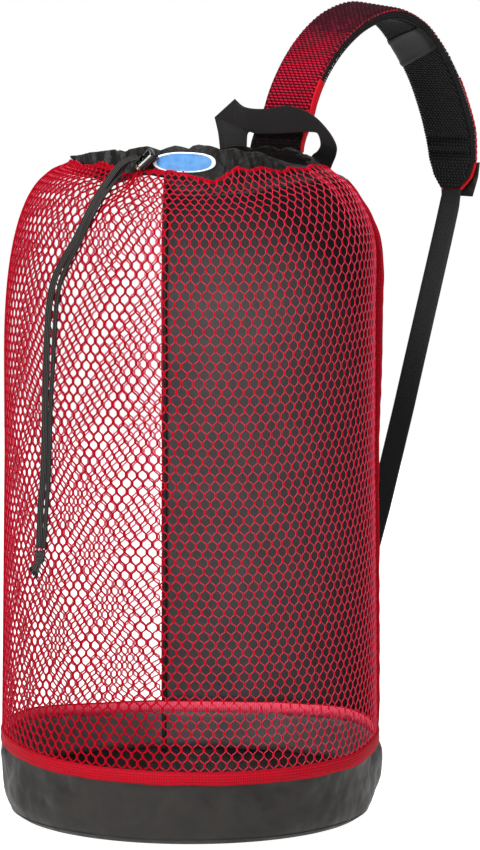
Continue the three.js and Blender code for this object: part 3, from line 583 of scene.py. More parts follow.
def wall_share(column, rise):
    """Share of the wall by net column and by the part of the wall's length that lies below."""
    i, t = np.divmod(np.clip(2 * column, 0, len(HALF_COLUMNS) - 1.001), 1)
    k, s = np.divmod(np.clip(rise, 0, 1) * (len(WALL_STEPS) - 1.001), 1)
    i, k = i.astype(int), k.astype(int)
    low = EVEN_SHARES[i, k] * (1 - s) + EVEN_SHARES[i, k + 1] * s
    high = EVEN_SHARES[i + 1, k] * (1 - s) + EVEN_SHARES[i + 1, k + 1] * s
    return low * (1 - t) + high * t


def row_rise(row, column):
    """Part of the wall's length below a net row: the cells are a little longer towards the collar, and drawn
    together below its edge at the front."""
    t = row / NET["rows"]
    slow = t * (1 + NET["stretch"] * t / 2) / (1 + NET["stretch"] / 2)
    rise = slow if t <= 1 else 1 + (t - 1) * (1 + NET["stretch"]) / (1 + NET["stretch"] / 2)
    at = math.degrees(column_angle(column))
    tight = TIGHT["by"] * within(TIGHT["starts"], TIGHT["ends"], at)
    return rise - tight * max(0, rise - TIGHT["from"])


def edge_rise(column):
    """The net's free edge over the collar, as a part of the wall's length."""
    return 1 + by_degrees(TONGUES, column_angle(column)) / wall_length(column)


def net_point(column, rise):
    """Points of the net on the body's wall and then over the collar's foot."""
    at = column_angle(column)
    share = wall_share(column, rise)
    over = np.maximum(0, rise - 1) * wall_length(column)
    swell = np.stack([column * 0.11, rise * 6.0, 0 * column], -1)
    inside = np.cos(at / NET_END * math.pi / 2) ** 0.5
    sway = NET["sway"] * wander(swell, 1, 6) * smooth(0, 0.1, share)
    at = at + inside * (sway + NET["twist"] * (1 - smooth(-0.2, 0.8, share)))
    turned = gathered(at, share)
    pleat = NET["pleat"] * smooth(NET["gather_from"], 1, share) * np.cos(COLLAR["ruffles"] * at) * quiet(at)
    on_body = body(turned, share, pleat)
    on_collar = collar(turned, over / collar_height(turned), COLLAR["wall"] / 2 + NET["lift"] + 0.6 * pleat)
    return np.where((over > 0)[..., None], on_collar, on_body)


def net_place(column, rise):
    """Points of the net, pulled straight across the hollow where shoulder and collar meet."""
    length = wall_length(column)
    near = 1 - smooth(0.25 * NET["bridge_reach"], NET["bridge_reach"], np.abs(rise - 1) * length)
    bridge = np.minimum(NET["bridge"], collar_height(column_angle(column)))
    spans = np.linspace(-1, 1, 7)
    return sum(net_point(column, rise + span * bridge * near / length) for span in spans) / len(spans)


def net_thread(column, hand):
    """One thread with its relative thickness and its painted light at the right: it joins a neighbour at every
    bar and then changes sides. Above its last bar it runs into the net's edge."""
    spots = []
    for row in range(NET["rows"] + NET["rows_over"]):
        odd = row % 2
        home = column + odd * hand / 2
        if row_rise(row, home) > edge_rise(home):
            break
        nudge = NET["jitter"] * noise.noise((home / 0.9 + 7.3, row / 0.9, 4.1))
        lift = NET["jitter"] * noise.noise((home / 0.9 + 2.6, row / 0.9, 8.7))
        spots.append((home + nudge + hand * (1 - 2 * odd) * NET["pair"] / COLUMN, row + lift))
    # pale thins the threads where the net is taut at the right and sets their painted light there: lit on every
    # point, slack on the slanted ones
    pale = float(smooth(math.radians(SWELL["taut_from"]), math.radians(SWELL["taut_to"]), column_angle(column)))
    thick = SWELL["bar"] - SWELL["bar_less"] * pale
    thin = SWELL["slant"] - SWELL["slant_less"] * pale
    half = NET["bar"] / 2
    marks = []
    for k, (side, row) in enumerate(spots):
        for end in (max(row - half, 0), row + half):
            marks.append((side, row_rise(end, side), thick, 0.0))
        if k + 1 < len(spots):
            gap = spots[k + 1][1] - row - NET["bar"]
            step = spots[k + 1][0] - side
            for t, x in ((NET["bend_at"], NET["bend"]), (1 - NET["bend_at"], 1 - NET["bend"])):
                marks.append((side + step * x, row_rise(row + half + gap * t, side), thin, pale))
    marks.append((side, max(edge_rise(side), marks[-1][1] + 0.002), thick, 0.0))
    columns, rises, swells, painted_slant_light = np.array(marks).T
    values = {"swell": swells, "slack": painted_slant_light, "lit": np.full(len(marks), pale)}
    return net_place(np.clip(columns, 0, NET["columns"]), rises), values


def net_edge(k):
    """One of the threads bunched along the net's free edge."""
    columns = np.linspace(0, NET["columns"], EDGE["steps"])
    spots = np.stack([columns / 0.5, 0 * columns + 9.7 * k, 0 * columns], -1)
    at = np.degrees(column_angle(columns))
    loose = EDGE["loose"] + EDGE["looser"] * within(EDGE["starts"], EDGE["ends"], at)
    drop = loose * (wander(spots, 1, 41) - 0.45 * (k % 4))
    return net_place(columns, edge_rise(columns) + drop / wall_length(columns))


def thread_tree():
    """Node tree that draws a round thread along every line of a mesh, thicker where its swell is more."""
    tree, given = begun("threads_along_lines", {"Lines": "Geometry", "Thread radius": "Float", "Sides": "Int",
                                                "Finish": "Material"})
    lines = add(tree, "GeometryNodeMeshToCurve", {"Mesh": given["Lines"]})
    section = add(tree, "GeometryNodeCurvePrimitiveCircle",
                  {"Resolution": given["Sides"], "Radius": given["Thread radius"]})
    swell = add(tree, "GeometryNodeInputNamedAttribute", {"Name": "swell"}, data_type="FLOAT")
    drawn = add(tree, "GeometryNodeCurveToMesh",
                {"Curve": lines.outputs[0], "Profile Curve": section.outputs[0], "Scale": swell.outputs[0],
                 "Fill Caps": True})
    return ended(tree, drawn.outputs[0], given["Finish"])


THREADS = thread_tree()


def threads(name, lines, radius, sides, finish, values=None):
    """Round threads along lists of points, with named numbers for the points of each."""
    mesh = bpy.data.meshes.new(name + "_lines")
    starts = np.cumsum([0] + [len(line) for line in lines])
    edges = [(k, k + 1) for start, line in zip(starts, lines) for k in range(start, start + len(line) - 1)]
    mesh.from_pydata(np.concatenate(lines).tolist(), edges, [])
    values = values or [{"swell": np.ones(len(line))} for line in lines]
    with_values(mesh, {label: np.concatenate([each[label] for each in values]) for label in values[0]})
    return grown(name, mesh, THREADS, {"Thread radius": radius, "Sides": sides, "Finish": finish})


# Knitted polyester yarn: deep red, with painted light. Its inner faces are painted paler, where the light comes
# through the net. The threads at the right are painted brighter, and their slack slanted threads paler still,
# as they lie open to the light.
net_yarn, tree, shader = surface("knitted_red_yarn", "#b0081e", 0.65, {"Specular IOR Level": 0.03})
coordinates = add(tree, "ShaderNodeTexCoord").outputs
place = coordinates["Object"]
shaded = mottled(tree, shader, "#6c000d", "#aa021a", 4 * MM, place)
# The lit attribute paints light: a brighter copy of the red on the threads at the right
lit = add(tree, "ShaderNodeAttribute", attribute_name="lit").outputs["Fac"]
bright = add(tree, "ShaderNodeTexNoise", {"Vector": place, "Scale": 1 / (4 * MM), "Detail": 3})
bright = add(tree, "ShaderNodeMix", {0: bright.outputs[0], 6: linear("#8a0418"), 7: linear("#c60a26")},
             data_type="RGBA")
yarn = add(tree, "ShaderNodeMix", {0: lit, 6: shaded.outputs[2], 7: bright.outputs[2]}, data_type="RGBA")
# The slack attribute paints a pale highlight on the slanted threads at the right
slack = add(tree, "ShaderNodeAttribute", attribute_name="slack").outputs["Fac"]
slant_light_share = add(tree, "ShaderNodeMath", {0: slack, 1: 0.22}, operation="MULTIPLY")
slant_lit = add(tree, "ShaderNodeMix", {0: slant_light_share.outputs[0], 6: yarn.outputs[2], 7: linear("#c85a76")},
             data_type="RGBA")
# Faces turned towards the bag's axis are painted paler, painted light through the net
level = add(tree, "ShaderNodeVectorMath", {0: place, 1: (1, 1, 0)}, operation="MULTIPLY")
outward = add(tree, "ShaderNodeVectorMath", {0: level.outputs[0]}, operation="NORMALIZE")
facing = add(tree, "ShaderNodeVectorMath", {0: outward.outputs[0], 1: coordinates["Normal"]},
             operation="DOT_PRODUCT")
inside = add(tree, "ShaderNodeMapRange", {0: facing.outputs["Value"], 1: -0.05, 2: -0.5, 3: 0, 4: 0.85})
paler = add(tree, "ShaderNodeMix", {0: inside.outputs[0], 6: slant_lit.outputs[2], 7: linear("#f0708a")},
            data_type="RGBA")
tree.links.new(paler.outputs[2], shader.inputs["Base Color"])
twist = add(tree, "ShaderNodeTexNoise", {"Vector": place, "Scale": 1 / (0.8 * MM), "Detail": 1})
raised(tree, shader, twist.outputs[0], 0.15 * MM)

NET_PIECES = {"net_left": range(0, 26), "net_front": range(26, 52), "net_right": range(52, NET["columns"] + 1)}
for name, columns in NET_PIECES.items():
    spun = [net_thread(column, hand) for column in columns for hand in (-1, 1)
            if 0 <= column + 0.5 * hand <= NET["columns"]]
    lines, values = zip(*spun)
    made = threads(name, lines, NET["thread"], NET["sides"], net_yarn, values)
    hand_over(made, "net", *(["net"] if name == "net_front" else []))
edge_lines = [net_edge(k) for k in range(EDGE["threads"])]
hand_over(threads("net_edge", edge_lines, NET["thread"], NET["sides"], net_yarn), "net")


# Back panel. One piece of the same coated cloth as the tub, sewn between the two ends of the net, with a
# turned hem down each side. It hangs slack enough to buckle softly.
PANEL = {"wall": 1.4 * MM, "rows": 72, "columns": 44, "buckle": 2.4 * MM, "length": 632 * MM,
         "under": math.radians(3.5), "tuck": 2.4 * MM}
# Where shade is painted on the panel's inner face, darker upwards and to the right
PAINTED_SHADE = {"share": (0.62, 0.86), "at": (2.4, 3.75)}      # where the inner face darkens upwards and to the right
HEM = {"net_side": math.radians(0.3), "panel_side": math.radians(1.0), "in": -2.8 * MM, "out": -1.2 * MM}
at = np.linspace(SEAM_AT - PANEL["under"], 2 * math.pi - SEAM_AT - math.radians(0.7), PANEL["columns"] + 1)
share = np.linspace(0, 1, PANEL["rows"] + 1)[:, None]
tucked = -PANEL["tuck"] * (1 - smooth(SEAM_AT - PANEL["under"], SEAM_AT + PANEL["under"], at))
hem = 1 - smooth(0.0, 0.12, (at - at[0])[None]) + smooth(-0.12, 0.0, (at - at[-1])[None])
slack = within((0, 0.06), (0.9, 1), share) * (1 - 0.8 * hem)
rest = body(at[None], share)
swells = wander(rest * [1, 1, 0.6], 75 * MM, 11) + 0.4 * wander(rest, 28 * MM, 12)
buckle = PANEL["buckle"] * slack * swells + tucked
outer_skin = body(at[None], share, buckle + PANEL["wall"] / 2)
inner_skin = body(at[None], share, buckle - PANEL["wall"] / 2)
# Share of painted shade on the inner face
deep = np.clip(smooth(*PAINTED_SHADE["share"], share) + 1 - smooth(*PAINTED_SHADE["at"], at)[None], 0, 1)

# The same calendered PVC on a lighter cloth: matt charcoal with a fine pebble grain, mottled by handling. Its
# inner face carries painted shade, which takes it to near black under the collar and towards the right seam.
panel_cloth, tree, shader = surface("coated_panel_cloth", "#2a2a2a", 0.6, {"Specular IOR Level": 0.1})
place = add(tree, "ShaderNodeTexCoord").outputs["Object"]
panel_mottle = mottled(tree, shader, "#373536", "#504d4e", 30 * MM, place)
# Painted shade: the deep attribute takes the inner face to near black
shade_share = add(tree, "ShaderNodeAttribute", attribute_name="deep").outputs["Fac"]
panel_with_shade = add(tree, "ShaderNodeMix", {0: shade_share, 6: panel_mottle.outputs[2], 7: linear("#0f0d0e")}, data_type="RGBA")
tree.links.new(panel_with_shade.outputs[2], shader.inputs["Base Color"])
pebbles = add(tree, "ShaderNodeTexVoronoi", {"Vector": place, "Scale": 1 / GRAIN})
raised(tree, shader, pebbles.outputs[0], 0.05 * MM)
panel = loft("back_sheet", np.concatenate([outer_skin, inner_skin[:, ::-1]], 1), panel_cloth)
# Only the inner face carries the painted shade
with_values(panel.data, {"deep": np.concatenate([0 * deep, deep[:, ::-1]], 1).ravel()})
hand_over(panel, "vinyl", "back_panel")

share = np.linspace(0.004, 0.985, 130)[:, None]
for name, hand in (("right", 1), ("left", -1)):
    sway = math.radians(0.22) * wander(body(hand * SEAM_AT, share), 26 * MM, 15)
    edge_net = hand * (SEAM_AT - HEM["net_side"] + sway)
    edge_panel = hand * (SEAM_AT + HEM["panel_side"]) + 0 * sway
    corners = [(edge_net, HEM["out"]), (edge_net, HEM["in"]), (edge_panel, HEM["in"]), (edge_panel, HEM["out"])]
    sections = np.stack([body(edge, share, depth)[:, 0] for edge, depth in corners], 1)
    hand_over(loft("panel_hem_" + name, sections, vinyl), "vinyl")


# Side seams. Red tape folded round the edges of net and panel and sewn, so that it stands out from the bag
# as a fin that lies flatter towards the collar.
# How far the fin stands out, by share of the way up
FIN_PROUD = np.array([(0, 1.5), (0.03, 3.2), (0.2, 4), (0.47, 4.7), (0.6, 7.5), (0.7, 9), (0.76, 7), (0.82, 4),
                      (0.87, 2), (0.93, 1)]) * [1, MM]
FIN = {"inset": 1 * MM, "half": math.radians(0.56), "top": 0.93, "rows": 220, "wave": 0.8 * MM,
       "sway": math.radians(0.35)}
share = np.linspace(0, FIN["top"], FIN["rows"])[:, None]
for name, middle in (("right", SEAM_AT), ("left", -SEAM_AT)):
    proud = np.interp(share, *FIN_PROUD.T) + FIN["wave"] * wander(body(middle, share), 14 * MM, 13)
    sway = FIN["sway"] * wander(body(middle, share), 26 * MM, 14)
    side = np.array([-1, -1, -0.8, 0, 0.8, 1, 1])
    reach = np.array([0, 0.75, 0.95, 1, 0.95, 0.75, 0])
    lift = -FIN["inset"] + (proud + FIN["inset"]) * reach
    sections = body(middle + FIN["half"] * side[None] + sway * reach, share, lift)
    hand_over(loft("side_tape_" + name, sections, red_tape), "red_tape", "seam_binding_" + name)
    marks = np.arange(0.01, FIN["top"] - 0.02, STITCH["pitch"] / PANEL["length"])
    up = body_middle(middle, marks + 0.004) - body_middle(middle, marks - 0.004)
    for face in (-1, 1):
        spots = body(middle + face * FIN["half"] * 1.05, marks, 0.45 * np.interp(marks, *FIN_PROUD.T))
        seen = polar(np.full(len(marks), middle + face * math.pi / 2), 1.0, 0.0)
        suffix = "front" if face * middle < 0 else "back"
        made = grains("side_stitches_" + name + "_" + suffix, spots, up, seen, STITCH_SIZE, red_thread)
        hand_over(made, "red_tape")


# Collar. A band of plain woven nylon folded into a channel for the drawcord and sewn to the net's edge. The
# pulled cord gathers it into soft ruffles, flatter at the front behind the lock and the badge.
NYLON = {"columns": 600, "puff": 1.7 * MM, "fold": 5.4 * MM, "fold_turn": 0.065, "flat": (950 * MM, 33 * MM),
         "hidden_in": -3.6 * MM, "hidden_out": -2.4 * MM}
# By degrees from the front: rise of the free edge, start of the cloth over the seam and length of the turned
# allowance that hangs below the seam inside, all in millimetres
RIM = np.array([
    (-180, 0), (-110, -2), (-85, -7), (-66, -6), (-52, -2), (-35, 2), (-20, 4.6), (-10, 5.4), (-3.5, 1), (3, 4),
    (10.5, 5.9), (16, 6.3), (24, 1.3), (28, 4), (32.5, 5.9), (37, 4.3), (40, 2.6), (42, 5.8), (45, 7),
    (49, 5.8), (53, 3), (57, 2), (64, 4.5), (70, 1), (78, 2), (88, -4), (100, -8), (120, -11), (140, -10),
    (155, -5), (170, 0), (180, 0)])
START = np.array([(-180, 0), (0, 0), (6, 2.5), (14, 10), (19, 12.5), (27, 12), (33, 0), (180, 0)])
# At the right the allowance hangs longer, a dark sheet that stands in part for shade behind the net below the
# seam
ALLOWANCE = np.array([(-180, 16), (-25, 20), (-8, 17), (0, 6), (5, 1), (29, 1), (35, 30), (130, 34), (180, 16)])
LOCK_AT = math.radians(18.5)
PATCH_AT = math.radians(37)

# Plain woven nylon taffeta: black with a soft sheen on every crumple, and a fine square weave.
nylon, tree, shader = surface("plain_woven_nylon", "#100f0e", 0.5, {"Specular IOR Level": 0.26})
THREAD = 0.9 * MM      # drawn coarser than the real weave so that it shows
place = add(tree, "ShaderNodeTexCoord").outputs["Object"]
mottled(tree, shader, "#0d0c0b", "#161413", 12 * MM, place)
lay = add(tree, "ShaderNodeUVMap", uv_map="UVMap").outputs[0]
warp = add(tree, "ShaderNodeTexWave", {"Vector": lay, "Scale": BANDS / THREAD}, bands_direction="X")
weft = add(tree, "ShaderNodeTexWave", {"Vector": lay, "Scale": BANDS / THREAD}, bands_direction="Y")
cloth = add(tree, "ShaderNodeMath", {0: warp.outputs[1], 1: weft.outputs[1]}, operation="ADD")
crumple = add(tree, "ShaderNodeTexNoise", {"Vector": place, "Scale": 1 / (11 * MM), "Detail": 2})
under = raised(tree, shader, crumple.outputs[0], 4 * MM)
raised(tree, shader, cloth.outputs[0], 0.06 * MM, under)

at = np.linspace(-math.pi, math.pi, NYLON["columns"], endpoint=False)[:, None]
steps = np.array([0, 0.12, 0.25, 0.4, 0.55, 0.7, 0.82, 0.92, 0.98, 1.0])[None]
start = by_degrees(START, at) / collar_height(at)
climb = start + (1 - start) * steps
puff = COLLAR["wall"] / 2 + NYLON["puff"] * np.array([0, 0, 0.1, 0.3, 0.6, 0.9, 1, 0.8, 0.45, 0])
held = sum(np.exp(-(away(at, middle) / math.radians(reach)) ** 4)
           for middle, reach in ((PATCH_AT, 18), (LOCK_AT, 8)))
loose = 1 - 0.85 * np.clip(held, 0, 1)
fan = polar(at + 0.10 * climb, 1 / NYLON["fold_turn"], 1.2 * climb)
folds = NYLON["fold"] * wander(fan, 1, 21) * climb * loose
thick = puff * (0.25 + 0.75 * quiet(at)) + COLLAR["wall"] / 2 * (1 - 0.75 * quiet(at)) * 0.75
rises = (by_degrees(RIM, at) * smooth(0.35, 1, climb))[..., None] * [0, 0, 1]
front = collar(at, climb, thick + folds) + rises
behind = (collar(at, climb, -thick + folds) + rises)[:, ::-1]
allowance = by_degrees(ALLOWANCE, at) / PANEL["length"]
allowance = allowance * (1 + 0.35 * wander(polar(at, MOUTH["radius"], 0.0), 18 * MM, 22))
down = 1 - allowance * np.array([0.2, 0.6, 1])
raised_foot = smooth(0, 0.1, start)[..., None]
foot_in = collar(at, start + 0 * down, -COLLAR["wall"] / 2) * raised_foot
foot_out = collar(at, start + 0 * down, 0.0) * raised_foot
inside = body(at, down, NYLON["hidden_in"]) * (1 - raised_foot) + foot_in
outside = body(at, down[:, ::-1], NYLON["hidden_out"]) * (1 - raised_foot) + foot_out
band = loft("collar_cloth", np.concatenate([front, behind, inside, outside], 1), nylon, ring=True)
hand_over(band, "nylon", "collar")


# Badge. A small plain moulded patch sewn to the collar's front: a blue field inside a raised white rim.
PATCH = {"half": math.radians(16.5), "low": 0.47, "high": 0.98, "lift": 1.9 * MM, "thick": 1.1 * MM,
         "rim": 0.22, "rings": 9, "spokes": 72}


def signed_power(value, power):
    """A power that keeps the sign of its value."""
    return np.sign(value) * np.abs(value) ** power


def two_toned(made, finish, first):
    """Gives a second material to a capped loft, from a face of its skin up to its last cap."""
    made.data.materials.append(finish)
    indices = np.zeros(len(made.data.polygons), np.int32)
    indices[first:-2] = 1
    indices[-1] = 1
    made.data.polygons.foreach_set("material_index", indices)


# Moulded soft PVC: smooth, satin, white on the rim and blue in the field.
patch_white, tree, shader = surface("moulded_white_rim", "#eef2f5", 0.38)
mottled(tree, shader, "#dfe5ea", "#f4f6f8", 6 * MM)
patch_blue, tree, shader = surface("moulded_blue_field", "#2a62a0", 0.35)
mottled(tree, shader, "#2a5f9c", "#5c98cc", 7 * MM)
spokes = circle(PATCH["spokes"])[None]
rings = np.linspace(1, 0.05, PATCH["rings"])
out = np.concatenate([[1, 1], rings])[:, None]
level = np.concatenate([[0, 0.7], np.where(rings > 1 - PATCH["rim"], 1, 0.75)])[:, None]
out[2] = 0.97
side = signed_power(np.cos(spokes), 0.8)
rise = signed_power(np.sin(spokes), 0.8)
middle = (PATCH["low"] + PATCH["high"]) / 2
sections = collar(PATCH_AT + PATCH["half"] * side * out, middle + (PATCH["high"] - middle) * rise * out,
                  COLLAR["wall"] / 2 + PATCH["lift"] - PATCH["thick"] + PATCH["thick"] * level + 0 * side)
badge = loft("collar_badge", sections, patch_white)
two_toned(badge, patch_blue, int(PATCH["rings"] * PATCH["rim"] + 2) * PATCH["spokes"])
hand_over(badge, "patch", "collar_patch")


# Grab handle. A length of ribbed webbing folded over at its left corner, laid across the back of the mouth
# and curled down again at the right, both ends sewn to the collar.
HANDLE_ROWS = np.array([
    [(-74.5, 137.5, 700.4), (-46.4, 149.5, 700.4)],
    [(-78, 138.5, 718), (-45, 149.5, 718)],
    [(-84, 139.5, 735), (-43, 149.5, 720)],
    [(-58, 143, 756), (-41, 149.5, 720)],
    [(-48, 146, 748), (-36, 149.5, 719)],
    [(-24, 148, 746), (-14, 149, 719)],
    [(13, 147, 751), (23, 147, 722)],
    [(41, 142, 747), (48, 142, 724)],
    [(62, 138, 739), (62, 138, 723)],
    [(84, 135, 722), (66, 137, 717)],
    [(91, 135, 710), (65, 139, 711)],
    [(88, 137.5, 701.5), (58, 143, 704.5)],
    [(80, 142, 692), (46, 149, 699)],
    [(72, 146, 682), (38, 153, 691)],
]) * MM
WEBBING = {"thick": 1.6 * MM, "rib": 1.7 * MM, "twill": 2.6 * MM}


def through(rows, shares):
    """Points of the smooth curve through rows, at shares of the number of rows."""
    rows = np.asarray(rows, float)
    ends = np.concatenate([[2 * rows[0] - rows[1]], rows, [2 * rows[-1] - rows[-2]]])
    place = np.asarray(shares, float) * (len(rows) - 1)
    k = np.minimum(place.astype(int), len(rows) - 2)
    t = (place - k)[:, None]
    p = [ends[k + n] for n in range(4)]
    gap = [np.sqrt(np.linalg.norm(p[n + 1] - p[n], axis=1, keepdims=True)) + 1e-9 for n in range(3)]
    leave = ((p[1] - p[0]) / gap[0] - (p[2] - p[0]) / (gap[0] + gap[1]) + (p[2] - p[1]) / gap[1]) * gap[1]
    reach = ((p[2] - p[1]) / gap[1] - (p[3] - p[1]) / (gap[1] + gap[2]) + (p[3] - p[2]) / gap[2]) * gap[1]
    h1, h2 = 2 * t ** 3 - 3 * t ** 2 + 1, t ** 3 - 2 * t ** 2 + t
    return h1 * p[1] + h2 * leave + (1 - h1) * p[2] + (t ** 3 - t ** 2) * reach


def unit(vectors):
    return vectors / np.linalg.norm(vectors, axis=-1, keepdims=True)


def webbing_sections(edge_a, edge_b, thick):
    """Sections of flat webbing between two edges, with rounded selvedges."""
    middle = (edge_a + edge_b) / 2
    face = unit(np.cross(np.gradient(middle, axis=0), edge_b - edge_a))
    across = np.array([0, 0.02, 0.06, 0.25, 0.5, 0.75, 0.94, 0.98, 1])
    lift = np.array([0, 0.7, 1, 1, 1, 1, 1, 0.7, 0])
    side = edge_a[:, None] + (edge_b - edge_a)[:, None] * across[None, :, None]
    push = face[:, None] * lift[None, :, None] * thick / 2
    return np.concatenate([side + push, (side - push)[:, -2:0:-1]], 1)


# Polypropylene webbing: nearly black, dull with a slight waxy shine, ribbed across, with a twill slant.
webbing, tree, shader = surface("ribbed_black_webbing", "#151414", 0.56, {"Specular IOR Level": 0.2})
lay = add(tree, "ShaderNodeUVMap", uv_map="UVMap").outputs[0]
ribs = add(tree, "ShaderNodeTexWave", {"Vector": lay, "Scale": BANDS / WEBBING["rib"], "Distortion": 0.4},
           bands_direction="Y")
slanted = add(tree, "ShaderNodeMapping", {"Vector": lay, "Rotation": (0, 0, math.radians(35))})
twill = add(tree, "ShaderNodeTexWave", {"Vector": slanted.outputs[0], "Scale": BANDS / WEBBING["twill"]})
weave = add(tree, "ShaderNodeMath", {0: ribs.outputs[1], 1: twill.outputs[1]}, operation="MULTIPLY")
between(tree, shader, weave.outputs[0], "#131212", "#1f1d1d")
raised(tree, shader, weave.outputs[0], 0.16 * MM)

FOLDS = (0, 2, 3, 13)      # rows between which the webbing runs smoothly; it is creased at the two in between
stretches = list(zip(FOLDS, FOLDS[1:]))
edges = [np.concatenate([through(HANDLE_ROWS[a:b + 1, side], np.linspace(0, 1, 10 * (b - a) + 1))[a > 0:]
                         for a, b in stretches]) for side in (0, 1)]
handle = loft("grab_webbing", webbing_sections(*edges, WEBBING["thick"]), webbing)
hand_over(handle, "webbing", "grab_handle")


# Shoulder strap. A foam pad in spacer mesh: red knitted loops over black outside, fading to black at the top
# of the arch, and a black ribbed face inside. Two sewn creases cross it near the tip.
# A row gives y, z, half width and thickness in millimetres, and degrees by which the +X edge rolls down.
PAD_ROWS = np.array([
    (158, 700.3, 37, 4, 0), (160, 724, 36, 8, 0), (167, 750, 34, 11, 0), (186, 782, 34, 12, 0),
    (218, 814, 34, 13, 2), (262, 839, 34, 13, 5), (314, 848, 34, 13, 6), (360, 832, 34, 13, 3),
    (394, 803, 34, 12, 0), (419, 773, 34, 12, 0), (435, 746, 34, 12, 0), (451, 710, 34, 12, 0),
    (457, 676, 31, 11, 0), (457, 658, 25, 9, 0), (454, 644, 14, 5, 0),
]) * np.array([MM, MM, MM, MM, math.radians(1)])
PAD = {"steps": 240, "puff": 0.5 * MM, "skin": 0.5 * MM, "creases": (0.807, 0.842), "crease_half": 0.010,
       "crease_depth": 6 * MM, "lean": -12 * MM}
LOOP = {"across": 6.1 * MM, "along": 3.3 * MM, "size": (6.6 * MM, 2.6 * MM, 1.7 * MM), "slant": 0.5,
        "lean": 0.16}
RIB = {"across": 4.4 * MM, "along": 3.4 * MM, "size": (4.6 * MM, 2.3 * MM, 1.5 * MM), "slant": 0.34,
       "lean": 0.9}
# Share of red in the outer yarn by share of the pad: dark at the root, bright above it, dark over the arch
RED_YARN = np.array([
    (0, 0), (0.055, 0), (0.09, 0.75), (0.12, 1), (0.22, 1), (0.27, 0.8), (0.31, 0.52), (0.36, 0.36),
    (0.42, 0.25), (0.50, 0.1), (0.60, 0.2), (0.68, 0.8), (1, 1)])
PAD_SHARES = np.linspace(0, 1, len(PAD_ROWS))


def strap_line(rows, shares):
    """Centre points of a strap in the plane X = 0, with its upward-facing normals and its tangents."""
    def centre(s):
        flat = through(rows[:, :2], np.clip(s, 0, 1))
        return np.concatenate([np.zeros((len(flat), 1)), flat], 1)
    tangent = unit(centre(shares + 0.002) - centre(shares - 0.002))
    outward = np.stack([0 * shares, -tangent[:, 2], tangent[:, 1]], -1)
    return centre(shares), outward, tangent


def column_of(rows, column, shares):
    return np.interp(shares, np.linspace(0, 1, len(rows)), rows[:, column])


def pad_frame(shares):
    """Centre points of the pad with its sideways, outward and lengthwise directions."""
    centre, outward, tangent = strap_line(PAD_ROWS, shares)
    centre[:, 0] += PAD["lean"] * (1 - smooth(0, 0.14, shares))
    roll = column_of(PAD_ROWS, 4, shares)[:, None]
    across = np.array([1.0, 0, 0])
    sideways = across * np.cos(roll) - outward * np.sin(roll)
    return centre, sideways, outward * np.cos(roll) + across * np.sin(roll), tangent


def pad_face(shares, across, side):
    """Points on the pad's outer (side 1) or inner (side -1) face, across from -1 to 1, and their normals."""
    centre, sideways, outward, tangent = pad_frame(shares)
    half = column_of(PAD_ROWS, 2, shares)
    lift = (column_of(PAD_ROWS, 3, shares) / 2 + PAD["puff"]) * (1 - np.abs(across) ** 10) ** 0.45
    if side < 0:
        for crease in PAD["creases"]:
            dip = np.exp(-((shares - crease) / PAD["crease_half"]) ** 2)
            lift = lift - PAD["crease_depth"] * dip * (1 - np.abs(across) ** 6)
    place = centre + sideways * (half * across)[:, None] + outward * (side * lift)[:, None]
    lean = signed_power(across, 9) * 0.8
    return place, unit(outward * side + sideways * lean[:, None]), tangent


# Spacer mesh: a springy black polyester knit full of small holes, quite matt, and tinted by the yarn that
# lies on it.
mesh_black, tree, shader = surface("black_spacer_mesh", "#100f10", 0.75, {"Specular IOR Level": 0.08})
place = add(tree, "ShaderNodeTexCoord").outputs["Object"]
black = mottled(tree, shader, "#0c0c0c", "#161515", 5 * MM, place)
tint = add(tree, "ShaderNodeAttribute", attribute_name="tint").outputs["Fac"]
ground_red = add(tree, "ShaderNodeMix", {0: tint, 6: black.outputs[2], 7: linear("#40010b")}, data_type="RGBA")
tree.links.new(ground_red.outputs[2], shader.inputs["Base Color"])
holes = add(tree, "ShaderNodeTexVoronoi", {"Vector": place, "Scale": 1 / (2.4 * MM)})
raised(tree, shader, holes.outputs[0], 0.8 * MM)

# Polyester knitting yarn: silky red loops that dim through maroon to black where the knit changes yarn, and
# duller black ones inside.
loop_red, tree, shader = surface("red_knit_loops", "#b51029", 0.55, {"Specular IOR Level": 0.06})
tint = add(tree, "ShaderNodeAttribute", attribute_name="tint").outputs["Fac"]
dyed = add(tree, "ShaderNodeValToRGB", {0: tint})
dyed.color_ramp.elements[0].color = linear("#0d090a")
dyed.color_ramp.elements[1].color = linear("#a4122c")
dyed.color_ramp.elements.new(0.45).color = linear("#400b1a")
tree.links.new(dyed.outputs[0], shader.inputs["Base Color"])
loop_black, tree, shader = surface("black_knit_loops", "#161516", 0.55, {"Specular IOR Level": 0.18})
mottled(tree, shader, "#100f10", "#1e1c1d", 7 * MM)


def fade(shares, points):
    """Share of red in the yarn, a little uneven from loop to loop."""
    return np.clip(np.interp(shares, *RED_YARN.T) + 0.2 * wander(points, 7 * MM, 31), 0, 1)


shares = np.linspace(0, 1, PAD["steps"])
centre, sideways, outward, _ = pad_frame(shares)
half = column_of(PAD_ROWS, 2, shares)[:, None]
face_marks = np.linspace(-0.98, 0.98, 25)
sections = []
for side in (1, -1):
    for across in face_marks * side:
        spot, normal, _ = pad_face(shares, np.full_like(shares, across), side)
        sections.append(spot - normal * PAD["skin"])
    sections.append(centre + sideways * (side * half))
pad = loft("strap_pad", np.stack(sections, 1), mesh_black)
ground_tint = np.zeros((PAD["steps"], len(sections)))
ground_tint[:, :len(face_marks)] = fade(shares, centre)[:, None]
with_values(pad.data, {"tint": ground_tint.ravel()})
hand_over(pad, "spacer_mesh", "shoulder_pad")

